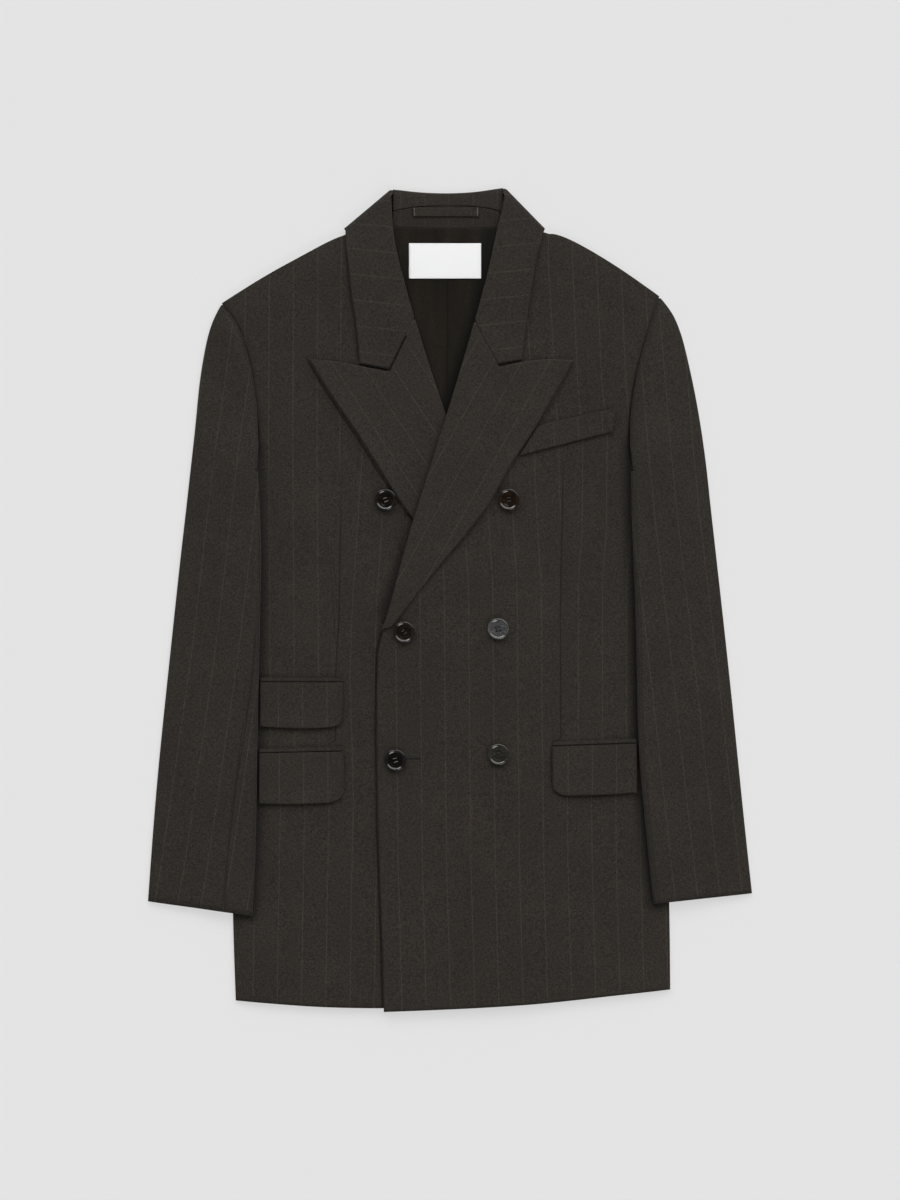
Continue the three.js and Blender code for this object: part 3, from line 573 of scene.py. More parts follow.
@dataclass(frozen=True)
class Darted:
    """Stripes on a front, where the dart takes cloth out of the waist.

    Attributes:
        side: Course beyond the dart, above the pocket.
        middle: Course of the rest of the front.
        dart: Rows of (y, x) down the dart, from its tip to the pocket.
        outward: 1 where the side seam is at +X of the dart, and -1 where it is at -X.
    """

    side: Course
    middle: Course
    dart: Table
    outward: int


WAYS: dict[str, Course | Slant | Darted] = {
    "front_right": Darted(
        side=Course(((319.5, -156.0), (169.5, -157.0), (-55.5, -155.5), (-150.0, -155.0))),
        middle=Course(((390.0, -84.0), (149.5, -87.5), (69.5, -92.5), (-5.5, -97.5), (-80.5, -100.0),
                       (-150.0, -97.5), (-205.5, -96.5), (-275.5, -98.0), (-370.5, -99.5), (-405.0, -100.0))),
        dart=((99.5, -109.0), (-20.5, -111.0), (-77.5, -114.5), (-149.0, -114.4)),
        outward=-1,
    ),
    "front_left": Darted(
        side=Course(((337.5, 122.0), (219.5, 127.0), (159.5, 132.5), (69.5, 132.0), (14.5, 128.0),
                     (-138.5, 128.0))),
        middle=Course(((337.5, 74.0), (169.5, 84.0), (109.5, 85.0), (14.5, 91.0), (-120.5, 92.0),
                       (-265.5, 93.5), (-357.5, 96.0), (-410.5, 97.5))),
        dart=((139.5, 113.0), (-20.5, 109.8), (-143.0, 110.7)),
        outward=1,
    ),
    "sleeve_right": Course(((300.0, -190.0), (197.5, -204.1), (147.5, -211.1), (78.5, -219.1), (8.5, -227.1),
                            (-61.5, -235.5), (-130.5, -245.5), (-200.5, -255.5), (-264.5, -265.0),
                            (-316.0, -274.0)), 23.4),
    "sleeve_left": Course(((300.0, 208.0), (199.5, 216.5), (149.5, 220.0), (79.5, 227.0), (-60.5, 243.5),
                           (-263.5, 265.8), (-304.0, 270.5)), 22.6),
    "lapel_right": Slant((-92.9, 197.6), 33.0, 24.4),
    "lapel_left": Slant((76.0, 195.9), -29.5, 24.4),
    "collar_right": Slant((-67.1, 244.6), 84.0, 25.4),
    "collar_left": Slant((67.4, 277.1), 96.0, 25.4),
    "flap_ticket": Slant((-147.0, -100.0), 0.0),
    "flap_right": Slant((-146.0, -170.0), 0.0),
    "flap_left": Slant((142.0, -165.0), 0.0),
    "chest": Slant((128.0, 168.0), 3.0),
    "upright": Slant((-1.0, 0.0), 0.0),
    "back_right": Slant((-12.0, 0.0), 1.0),
    "back_left": Slant((12.0, 0.0), -1.0),
}


# Soft creases


@dataclass(frozen=True)
class Crease:
    """A soft ridge or trough in the cloth.

    Attributes:
        start: One end, (x, y).
        end: The other end.
        height: Height of its middle, negative for a trough.
        width: How far it spreads to each side.
        bow: How far its middle bends to the left of its run.
        only: Solids that it shapes, or none for all that lies there.
    """

    start: tuple[float, float]
    end: tuple[float, float]
    height: float
    width: float
    bow: float = 0.0
    only: tuple[str, ...] = ()

    def lift(self, x: np.ndarray, y: np.ndarray) -> np.ndarray:
        """Height that the crease adds at each point."""
        run = np.array(self.end) - np.array(self.start)
        length = float(np.hypot(*run))
        along = ((x - self.start[0]) * run[0] + (y - self.start[1]) * run[1]) / length**2
        inner = np.clip(along, 0.0, 1.0)
        aside = (-(x - self.start[0]) * run[1] + (y - self.start[1]) * run[0]) / length
        aside = aside - self.bow * 4.0 * inner * (1.0 - inner)
        past = (along - inner) * length
        fade = np.sin(np.pi * np.clip(0.06 + 0.88 * inner, 0.0, 1.0)) ** 0.7
        return self.height * fade * np.exp(-(aside / self.width) ** 2 - (past / self.width) ** 2)


CREASES: tuple[Crease, ...] = (
    # Sleeve at -X: elbow, forearm and cuff
    Crease((-268, 62), (-214, 40), 1.1, 9, 4),
    Crease((-276, 8), (-222, 26), 0.9, 8, -3),
    Crease((-272, -38), (-230, -62), -0.9, 9, 3),
    Crease((-282, -96), (-226, -78), 0.8, 10, 4),
    Crease((-250, 168), (-214, 118), 0.9, 10, 4),
    Crease((-244, 236), (-214, 196), -0.7, 10, -3),
    Crease((-288, -176), (-232, -150), 0.6, 12, 3),
    Crease((-270, -250), (-222, -268), 0.5, 12, 2),
    # Sleeve at +X
    Crease((258, 70), (212, 48), 1.0, 9, -4),
    Crease((268, 14), (216, 34), 0.8, 8, 3),
    Crease((266, -30), (228, -58), -0.8, 9, -3),
    Crease((274, -104), (222, -82), 0.9, 10, -4),
    Crease((246, 172), (210, 124), 0.8, 10, -4),
    Crease((240, 232), (208, 190), -0.6, 9, 3),
    Crease((282, -184), (228, -162), 0.7, 12, -3),
    Crease((284, -258), (234, -270), 0.4, 12, 2),
    # Chest and waist
    Crease((-180, 230), (-132, 60), 0.7, 16, 8),
    Crease((-188, 120), (-140, -30), -0.6, 12, -6),
    Crease((170, 250), (140, 110), 0.6, 15, -6),
    Crease((182, 118), (150, -20), -0.6, 12, 7),
    Crease((-100, 60), (-84, -70), 0.5, 11, 3),
    Crease((92, 70), (84, -60), 0.5, 12, -3),
    Crease((18, 30), (62, -110), 0.5, 16, 5),
    Crease((-60, -120), (-30, -300), 0.5, 18, 6),
    # Skirt
    Crease((-196, -236), (-176, -392), 0.7, 12, -3),
    Crease((-150, -250), (-142, -396), -0.6, 14, 4),
    Crease((-112, -230), (-104, -400), 0.6, 13, 3),
    Crease((30, -250), (24, -404), 0.5, 16, 3),
    Crease((78, -240), (88, -400), -0.5, 14, -4),
    Crease((128, -236), (140, -396), 0.7, 14, 4),
    Crease((182, -226), (196, -388), -0.6, 11, 3),
    # Dart hollows
    Crease((-109, 96), (-114, -140), -0.9, 4.5),
    Crease((113, 136), (110, -140), -0.9, 4.5),
    # Free edges that stand off what they lie on
    Crease((-46, 90), (-146, 248), 1.9, 9, 0, ("lapel_right",)),
    Crease((-2, 42), (70, 148), 1.5, 9, 0, ("lapel_left",)),
    Crease((60, 134), (124, 240), 1.7, 9, 0, ("lapel_left",)),
    Crease((-66, -24), (-14, 150), 1.7, 13, -3, ("front_left", "lapel_left")),
    Crease((-68, -400), (-74, -60), 0.9, 6, 0, ("front_left",)),
    Crease((-90, 240), (-106, 366), 1.3, 8, -1, ("collar_leaf",)),
    Crease((71, 244), (95, 366), 1.1, 8, 2, ("collar_leaf",)),
    Crease((-188, -126), (-112, -128), 1.1, 7, 0, ("ticket_flap",)),
    Crease((-106, -92), (-108, -124), 1.0, 6, 0, ("ticket_flap",)),
    Crease((-188, -204), (-112, -203), 1.1, 8, 0, ("pocket_flap_right",)),
    Crease((-105, -160), (-107, -198), 1.1, 6, 0, ("pocket_flap_right",)),
    Crease((106, -196), (188, -192), 1.3, 8, 0, ("pocket_flap_left",)),
    Crease((101, -154), (103, -190), 1.6, 7, 0, ("pocket_flap_left",)),
    Crease((66, 142), (166, 168), 0.2, 9, 0, ("chest_welt",)),
    Crease((-62, 82), (-150, 226), -0.8, 5, 0, ("front_right",)),
    Crease((-78, -40), (-30, 112), -1.3, 8, 0, ("front_right",)),
    Crease((-190, 160), (-196, -325), 1.8, 11, 3, ("sleeve_right_top", "sleeve_right_under")),
    Crease((181, 160), (200, -318), 2.1, 11, -3, ("sleeve_left_top", "sleeve_left_under")),
    Crease((-129, 134), (-126, -46), -0.8, 7, -2, ("front_right",)),
    Crease((132, 134), (126, -46), -0.4, 9, 2, ("front_left",)),
    # Hollows of the body beside the sleeves
    Crease((-186, 170), (-186, -60), -1.3, 10, -1, ("front_right",)),
    Crease((-188, 10), (-193, -320), -1.3, 9, 0, ("front_right",)),
    Crease((174, 170), (177, -50), -1.7, 13, 1, ("front_left",)),
    Crease((181, 10), (196, -320), -1.4, 9, -2, ("front_left",)),
    Crease((-182, 130), (-190, 258), -1.2, 12, 2, ("front_right",)),
    Crease((166, 130), (181, 270), -1.7, 16, -4, ("front_left",)),
    Crease((-192, 226), (-216, 290), -0.7, 9, 0, ("front_right",)),
    Crease((182, 236), (200, 296), -0.7, 9, 0, ("front_left",)),
    # Sleeve heads
    Crease((-198, 150), (-206, 232), 0.9, 8, 2, ("sleeve_right_top",)),
    Crease((-206, 226), (-230, 284), 0.8, 7, 0, ("sleeve_right_top",)),
    Crease((190, 150), (196, 236), 0.9, 8, -2, ("sleeve_left_top",)),
    Crease((196, 230), (214, 290), 0.8, 7, 0, ("sleeve_left_top",)),
    # Shoulders
    Crease((-150, 322), (-196, 284), 0.5, 12, 3),
    Crease((150, 326), (190, 290), 0.5, 12, -3),
    Crease((-130, 300), (-118, 250), -0.5, 9, 2),
    Crease((122, 306), (114, 250), -0.4, 9, -2),
)
FLOOR_LAYER = (2.0, 5.0)      # heights between which the creases come in
ARMHOLES: dict[Wearer, Table] = {
    Wearer.LEFT: ((216, 90), (199, 108), (186, 124), (180.5, 150), (180, 185), (183, 208), (188, 233),
                  (199, 272), (209, 303)),
    Wearer.RIGHT: ((-216, 90), (-203, 110), (-194.5, 127), (-191.5, 152), (-192, 182), (-194.5, 208),
                   (-199, 232), (-211, 271.5), (-228, 296)),
}
SEAM_DEPTH = 1.7              # how far the cloth dips at an armhole seam
SEAM_SPREAD = 3.6             # and how wide
SLEEVE_SET_IN = 154.0         # y below which the sleeve hides the armhole seam
SEAM_START = {"sleeve": (8.0, 8.0), "front": (22.0, 18.0)}   # how far below that the dip starts and grows
# Painted shade: the armhole seam's line is soft and wide, with a dark core.
SEAM_SHADE = (0.55, 0.20)     # how faint an armhole seam is, and how fast it fades
SEAM_END = (0.7, 20.0, 16.0)  # its lower end: how much fainter, how far below the set-in, and over how much
FOLD_SHIFT = {Wearer.LEFT: 1.6, Wearer.RIGHT: -2.6}   # how far an inner fold moves out at the armpit
FOLD_REACH = (36.0, 88.0, 128.6)   # the y where that starts, over how much it grows, and where it ends
FOLD_SPREAD = 8.0             # how wide the cloth beside a fold moves with it
# Painted shade on the fronts beside the sleeves' inner folds, and on the sleeves near them:
FOLD_SHADES = {Wearer.LEFT: 0.06, Wearer.RIGHT: 0.26}   # how faint the front is beside a fold
FRONT_FADE = 0.10             # and how fast its shade fades
SLEEVE_SHADE = (0.55, 0.14)   # the same two of a sleeve
UNEVEN = (0.16, 0.10)         # heights of the cloth's broad and fine unevenness
FOREARM_SEAM: Table = ((-193.5, -34), (-196.8, -80), (-205.4, -137), (-212.6, -182), (-221.7, -256),
                       (-225, -316))
# Lines along which a piece is painted dark: painted shadows beside raised edges, welts, flaps and the lapels,
# painted shade at the edges of the lapels and the collar, the forearm seam line, and the neck facing darker
# all over.
# Each row has the line, how faint it is, or 0 for a seam line inside the piece that is dark all through, and
# how fast it fades
EDGE_SHADES: dict[str, tuple[tuple[Table, float, float], ...]] = {
    "front_right": (
        (((-40.5, 80), (-62, 112), (-92, 160), (-114, 192), (-129, 215), (-143, 239.5)), 0.0, 1.0),
        (((-67.4, -411), (-68.9, -343.5), (-72.9, -244.5), (-74.4, -140), (-73.4, -52), (-63, -12)),
         0.0, 0.9),
        (((-66, -12), (-50, 28), (-32, 76), (-22, 104)), 0.20, 0.10)),
    "neck_facing": ((((-54, 380), (48, 380)), 0.8, 0.0),),
    "back_lining": ((((-6, 183), (10, 235), (27, 300), (36, 352), (42, 372)), 0.2, 0.13),
                    (((-60, 372), (-50, 330), (-45, 309), (-9, 196)), 0.7, 0.18)),
    "front_left": (
        (((-66, -411.5), (-67.5, -343.5), (-71.5, -244.5), (-73, -140), (-72, -52), (-62, -12)),
         0.35, 0.75),),
    "lapel_right": ((((-38, 81.5), (-60, 113.5), (-90, 161.5), (-112, 193.5), (-127, 216.5), (-141, 239.5)),
                     0.25, 0.5),),
    "lapel_left": ((((16, 65.5), (40, 97), (60, 134), (79, 161.5), (107, 209.5), (123, 238.5)), 0.75, 0.5),),
    "collar_leaf": ((((-61.5, 230), (-90.5, 235.5), (-94, 276.5), (-98.5, 303), (-102, 336), (-106, 370.5)),
                     0.30, 0.6),
                    (((48, 235), (71.5, 239.5), (76, 277), (81.5, 310), (86, 340), (95, 370.5)), 0.65, 0.6)),
    "sleeve_right_top": ((FOREARM_SEAM, 0.0, 1.5),),
    "sleeve_right_under": ((FOREARM_SEAM, 0.0, 1.5),),
    "ticket_welt": ((((-189.3, -78.2), (-107, -78.2)), 0.1, 0.9), (((-189.3, -82), (-107, -82)), 0.1, 0.9)),
    "pocket_welt_right": ((((-190.4, -149), (-107.4, -147)), 0.1, 0.9),
                          (((-190.4, -153), (-107.4, -151)), 0.1, 0.9)),
    "pocket_welt_left": ((((102.5, -142), (186.2, -139)), 0.1, 0.9),
                         (((102.5, -146), (186.2, -143)), 0.1, 0.9)),
    "ticket_flap": ((((-189.4, -82.6), (-107.4, -82.6), (-107.4, -122)), 0.45, 0.7),),
    "pocket_flap_right": ((((-190.6, -153.6), (-106.2, -151.6), (-106.2, -196)), 0.45, 0.7),),
    "pocket_flap_left": ((((186.2, -143.6), (102.2, -146.6), (102.2, -190)), 0.25, 0.6),),
    "chest_welt": ((((68.4, 143.2), (162.5, 167.5), (165.5, 191), (88, 173.6)), 0.65, 0.5),),
}
INNER_FOLDS: dict[Wearer, Table] = {
    Wearer.LEFT: ((179.7, 152), (179, 126), (180, 90), (184, 20), (186.3, -66), (187, -140), (193, -207),
                  (198, -258), (203, -303.5)),
    Wearer.RIGHT: ((-191, 152), (-189.3, 128), (-188, 99.5), (-188.5, 20), (-190.5, -66), (-192, -142),
                   (-193.2, -220), (-195, -280), (-197, -315.5)),
}


def from_line(x: np.ndarray, y: np.ndarray, line: Table) -> np.ndarray:
    """Distance of each point from a broken line, in millimetres."""
    best = np.full(np.shape(x), np.inf)
    for (ax, ay), (bx, by) in zip(line, line[1:]):
        run = np.array((bx - ax, by - ay), dtype=float)
        share = np.clip(((x - ax) * run[0] + (y - ay) * run[1]) / (run @ run), 0.0, 1.0)
        best = np.minimum(best, np.hypot(x - ax - share * run[0], y - ay - share * run[1]))
    return best


def beside_line(x: np.ndarray, y: np.ndarray, line: Table) -> np.ndarray:
    """Distance of each point from a broken line, with one sign on each side of it."""
    best, side = np.full(np.shape(x), np.inf), np.ones(np.shape(x))
    for a, b in zip(line, line[1:]):
        off = from_line(x, y, (a, b))
        turn = np.sign((b[0] - a[0]) * (y - a[1]) - (b[1] - a[1]) * (x - a[0]))
        side = np.where(off < best, turn, side)
        best = np.minimum(best, off)
    return best * side


def seam_of(node: str) -> Table | None:
    """The armhole line of a front or a sleeve's top part, and nothing for other solids."""
    for side, line in ARMHOLES.items():
        if node in (f"front_{side.value}", f"sleeve_{side.value}_top"):
            return line
    return None


def groove(node: str, x: np.ndarray, y: np.ndarray) -> np.ndarray | float:
    """How far the cloth dips where a sleeve is set in."""
    line = seam_of(node)
    if line is None:
        return 0.0
    below, span = SEAM_START[node.split("_")[0]]
    shown = smooth((y - SLEEVE_SET_IN + below) / span)
    return SEAM_DEPTH * shown * np.exp(-(from_line(x, y, line) / SEAM_SPREAD) ** 2)


def run_on(points: np.ndarray, node: str) -> np.ndarray | float:
    """How far along X a sleeve's inner fold moves out below the armpit, to run on from the armhole seam."""
    x, y = points[:, 0], points[:, 1]
    start, span, top = FOLD_REACH
    for side, fold in INNER_FOLDS.items():
        if node.startswith(f"sleeve_{side.value}"):
            near = np.exp(-(from_line(x, y, fold) / FOLD_SPREAD) ** 2) * smooth((y - start) / span)
            return FOLD_SHIFT[side] * np.where(y < top, near, 0.0)
    return 0.0


def drape(points: np.ndarray, node: str) -> np.ndarray:
    """Height that the creases and the cloth's unevenness add.

    Args:
        points: Rows of x, y and z in millimetres.
        node: Name of the solid that the points belong to.

    Returns:
        Millimetres to add to z, nothing for what lies on the floor.
    """
    x, y, z = points.T
    lift = sum(crease.lift(x, y) for crease in CREASES if not crease.only or node in crease.only)
    lift = lift - groove(node, x, y)
    lift = lift + UNEVEN[0] * np.sin(x / 23.0 + 1.3 * np.sin(y / 61.0)) * np.sin(y / 37.0 + 0.8)
    lift = lift + UNEVEN[1] * np.sin(x / 11.0 + y / 29.0) * np.sin(y / 17.0 - x / 41.0)
    return lift * smooth((z - FLOOR_LAYER[0]) / (FLOOR_LAYER[1] - FLOOR_LAYER[0]))


# Cloth pieces


JOIN_ANGLE, JOIN_SHAPE = math.radians(50), math.radians(89)   # triangles that are joined to a face
CREASE_ANGLE, SHARP_ANGLE = math.radians(48), math.radians(52)   # edges kept before and after rounding
EDGE_NORMAL = 0.93            # a normal's z below which a point is on the edge of the cloth
SEAM_CLIMB = 0.6              # how steeply an edge may be drawn up or down to what it is sewn to
AWAY = 99.0                   # a distance past every line, in millimetres
TIP_NEAR, TIP_FADE = 8.0, 50.0    # how far round a dart's tip the stripes are matched, and then blended
TIP_THIN = 40.0               # how far below its tip a dart's line grows thin


@dataclass
class ClothPiece:
    """One cut piece, finer than its solid.

    Attributes:
        node: Name of its solid.
        way: How its stripes run, by name, or nothing where the cloth is plain.
        cut: Width and length it was cut to. Not used.
        area: Flat area of the cut in square metres. Not used.
        rests_on: Solids that it lies on. Not used.
        held: How it lies. Not used.
        levels: Levels of subdivision.
        finish: Its kind of finish. Not used.
        reach: Widest seam that is drawn together, in millimetres.
    """

    node: str
    way: str | None
    cut: tuple[float, float]
    area: float
    rests_on: tuple[str, ...]
    held: str = "laid"
    levels: int = 3
    finish: Slot = Slot.SUITING
    reach: float = 0.0

    def quads(self) -> bpy.types.Object:
        """A merged copy of the solid in four-sided faces, with its sharp edges marked."""
        shape = bmesh.new()
        shape.from_mesh(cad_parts[self.node].data)
        bmesh.ops.remove_doubles(shape, verts=shape.verts, dist=2e-6)
        bmesh.ops.join_triangles(shape, faces=shape.faces, angle_face_threshold=JOIN_ANGLE,
                                 angle_shape_threshold=JOIN_SHAPE, topology_influence=1.2)
        crease = shape.edges.layers.float.new("crease_edge")
        for edge in shape.edges:
            if edge.is_manifold and edge.calc_face_angle() > CREASE_ANGLE:
                edge[crease] = 1.0
        return place_object(f"{self.node}_cloth", mesh_from(shape, self.node))

    def refine(self, piece: bpy.types.Object) -> None:
        """Subdivides the piece and lays it in its creases."""
        modifier = piece.modifiers.new("round", "SUBSURF")
        modifier.levels = modifier.render_levels = self.levels
        modifier.uv_smooth = "PRESERVE_BOUNDARIES"
        fixed = applied(piece)
        piece.modifiers.clear()
        piece.data = fixed
        points = points_of(fixed)
        points[:, 2] += drape(points, self.node)
        points[:, 0] += run_on(points, self.node)
        points[:, 2] = np.maximum(points[:, 2], 0.0)
        fixed.vertices.foreach_set("co", (points * MM).ravel())
        for edges in ("crease_edge", "sharp_edge"):
            if edges in fixed.attributes:
                fixed.attributes.remove(fixed.attributes[edges])
        fixed.polygons.foreach_set("use_smooth", [True] * len(fixed.polygons))
        fixed.set_sharp_from_angle(angle=SHARP_ANGLE)
        fixed.update()

    def seal(self, piece: bpy.types.Object, surface: Surface) -> None:
        """Brings the edge at a seam up to the cloth that it is sewn to, so that no floor shows between.

        Args:
            piece: The refined piece.
            surface: The cloth that is already laid.
        """
        slanted = [(vertex, vertex.co.copy()) for vertex in piece.data.vertices
                   if abs(vertex.normal.z) < EDGE_NORMAL]
        for vertex, place in slanted:
            found = surface.nearest(place, self.reach * MM)
            if found is not None and abs(found.z - place.z) < SEAM_CLIMB * (found - place).length:
                vertex.co = found

    def mark(self, piece: bpy.types.Object) -> None:
        """Writes the UV map that the stripes read and the distance to the nearest line of seams and painted
        shade.
        """
        mesh = piece.data
        points = points_of(mesh)
        corners = np.empty(len(mesh.loops), dtype=int)
        mesh.loops.foreach_get("vertex_index", corners)
        x, y = points[corners, 0], points[corners, 1]
        across = self.stripes(mesh, x, y) if self.way else np.full(len(x), 0.5)
        layer = mesh.uv_layers.new(name="cut")
        layer.data.foreach_set("uv", np.column_stack((across, y / STRIPE_PITCH)).ravel())
        seams_and_painted_shade = mesh.attributes.new("seams_and_painted_shade", "FLOAT", "POINT")
        seams_and_painted_shade.data.foreach_set("value", self.seam_and_shade_line(points))

    def stripes(self, mesh: bpy.types.Mesh, x: np.ndarray, y: np.ndarray) -> np.ndarray:
        """Stripe number at each corner of the mesh.

        Args:
            mesh: The refined mesh.
            x: x of each corner.
            y: y of each corner.

        Returns:
            One value for each corner. On a darted front a face lies wholly on one side of the dart.
        """
        way = WAYS[self.way]
        if not isinstance(way, Darted):
            return way.across(x, y)
        starts = np.empty(len(mesh.polygons), dtype=int)
        totals = np.empty(len(mesh.polygons), dtype=int)
        mesh.polygons.foreach_get("loop_start", starts)
        mesh.polygons.foreach_get("loop_total", totals)
        face = np.repeat(np.arange(len(starts)), totals)
        centre_x = (np.bincount(face, x) / totals)[face]
        centre_y = (np.bincount(face, y) / totals)[face]
        middle, side = way.middle.across(x, y), way.side.across(x, y)
        tip, mouth = way.dart[0][0], way.dart[-1][0]
        beyond = way.outward * (centre_x - read_table(centre_y, way.dart))
        near = np.abs(y - tip) < TIP_NEAR
        shift = np.round(np.median((side - middle)[near]))
        soft = smooth(way.outward * (x - read_table(y, way.dart)) / TIP_FADE + 0.5)
        above = smooth((y - tip) / TIP_FADE)
        share = np.where(centre_y > tip, (beyond > 0) * (1 - above) + soft * above, beyond > 0)
        share = np.where(centre_y < mouth, 0.0, share)
        return middle + share * (side - shift - middle)

    def seam_and_shade_line(self, points: np.ndarray) -> np.ndarray:
        """Distance from the nearest dart, slit, pleat, seam or edge line, in millimetres. These lines are
        painted dark: seam lines, and painted shade and painted shadows in the slit and the pleat, along the
        armholes, beside the inner folds and beside edges.

        Across a line the distance changes its sign, so that it passes through nought between two points.
        """
        x, y = points[:, 0], points[:, 1]
        lines = [np.full(len(points), AWAY)]
        way = WAYS.get(self.way or "")
        if isinstance(way, Darted):
            tip, mouth = way.dart[0][0], way.dart[-1][0]
            off = x - read_table(y, way.dart)
            thin = 1.0 + smooth((y - tip + TIP_THIN) / TIP_THIN)
            lines.append(np.where((y < tip) & (y > mouth), off * thin, AWAY))
        # Painted shade in the buttonhole's slit.
        if self.node == "front_left":
            (x0, y0), (x1, _) = SLIT
            lines.append(np.where((x > x0) & (x < x1), SLIT_FADE * (y - y0), AWAY))
        # Painted shade in the lining's pleat fold.
        if self.node == "back_lining":
            lines.append(np.where(y < PLEAT_TOP, x - PLEAT_X, AWAY))
        # Painted shade along the armhole seams, soft and wide.
        seam = seam_of(self.node)
        if seam is not None:
            covered = self.node.startswith("sleeve") & (y < SLEEVE_SET_IN)
            (faint, fade), (fainter, below, span) = SEAM_SHADE, SEAM_END
            end = fainter * (1.0 - smooth((y - SLEEVE_SET_IN + below) / span))
            lines.append(np.where(covered, AWAY, faint + end + fade * from_line(x, y, seam)))
        # Painted shade on the fronts and sleeves beside the sleeves' inner folds.
        for side, fold in INNER_FOLDS.items():
            if self.node == f"front_{side.value}":
                lines.append(FOLD_SHADES[side] + FRONT_FADE * from_line(x, y, fold))
            elif self.node.startswith(f"sleeve_{side.value}"):
                lines.append(SLEEVE_SHADE[0] + SLEEVE_SHADE[1] * from_line(x, y, fold))
        # Painted shadows and dark lines beside edges, from the table of edge shades.
        for line, faint, fade in EDGE_SHADES.get(self.node, ()):
            off = from_line(x, y, line) if faint else beside_line(x, y, line)
            lines.append(faint + fade * off)
        stack = np.array(lines)
        return stack[np.argmin(np.abs(stack), axis=0), np.arange(len(points))]

    def build(self, material: bpy.types.Material, surface: Surface) -> bpy.types.Object:
        """Makes the piece and logs its face count.

        Args:
            material: Its finish.
            surface: The cloth laid so far, which the piece joins.

        Returns:
            The finished piece.
        """
        piece = self.quads()
        self.refine(piece)
        if self.reach:
            self.seal(piece, surface)
        self.mark(piece)
        piece.data.materials.clear()
        piece.data.materials.append(material)
        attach(piece, "root")
        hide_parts(self.node)
        log.info("%s: %d faces", piece.name, len(piece.data.polygons))
        surface.add(piece)
        return piece


PLEAT_X, PLEAT_TOP = -2.5, 322.0                   # where the lining's pleat runs, and its upper end
SLIT: Table = ((-44.5, -159.0), (-27.5, -159.0))   # the buttonhole that shows
SLIT_FADE = 0.42                                   # how fast its line fades


@dataclass
class Surface:
    """What has been laid so far, to set small things on.

    Attributes:
        trees: Search trees of the pieces.
    """

    trees: list[BVHTree] = field(default_factory=list)

    def add(self, piece: bpy.types.Object) -> None:
        """Adds a finished piece."""
        mesh = piece.data
        corners = [vertex.co for vertex in mesh.vertices]
        self.trees.append(BVHTree.FromPolygons(corners, [face.vertices for face in mesh.polygons]))

    def nearest(self, point: Vector, reach: float) -> Vector | None:
        """Nearest point of the cloth within a reach, in metres."""
        found = [tree.find_nearest(point, reach) for tree in self.trees]
        near = [(hit[3], hit[0]) for hit in found if hit[0] is not None]
        return min(near, key=lambda pair: pair[0])[1] if near else None

    def height(self, x: float, y: float) -> float:
        """Height of the highest cloth at a place, in millimetres."""
        start = Vector((x * MM, y * MM, 0.1))
        hits = [tree.ray_cast(start, Vector((0.0, 0.0, -1.0)))[0] for tree in self.trees]
        return max((hit.z for hit in hits if hit is not None), default=0.0) / MM


@dataclass
class PieceSet:
    """Pieces of one cloth that are laid one after the other.

    Attributes:
        pieces: The pieces from the lowest up.
    """

    pieces: tuple[ClothPiece, ...] = ()

    def build(self, material: bpy.types.Material, surface: Surface) -> None:
        """Makes the pieces in order."""
        for piece in self.pieces:
            piece.build(material, surface)


@dataclass
class Body(PieceSet):
    """Backs and fronts."""

    pieces: tuple[ClothPiece, ...] = (
        ClothPiece("back_left", "back_left", (222, 802), 0.159, (), levels=2),
        ClothPiece("back_right", "back_right", (230, 802), 0.163, (), levels=2),
        ClothPiece("front_right", "front_right", (302, 800), 0.190, ("back_right", "back_left")),
        ClothPiece("front_left", "front_left", (296, 802), 0.190, ("back_left", "front_right")),
    )


@dataclass
class Lapels(PieceSet):
    """The two peak lapels, each turned back along its roll line."""

    pieces: tuple[ClothPiece, ...] = (
        ClothPiece("lapel_right", "lapel_right", (130, 330), 0.0206, ("front_right",), "folded"),
        ClothPiece("lapel_left", "lapel_left", (125, 330), 0.0195, ("front_left",), "folded"),
    )


@dataclass
class Collar(ClothPiece):
    """The leaf, which runs from notch to notch round the back of the neck."""

    def stripes(self, mesh: bpy.types.Mesh, x: np.ndarray, y: np.ndarray) -> np.ndarray:
        """Stripe number at each corner: each half follows its own edge, and the back runs across."""
        halves = [WAYS[f"collar_{side.value}"].across(x, y) for side in (Wearer.RIGHT, Wearer.LEFT)]
        return np.where(x < 0, halves[0], halves[1])


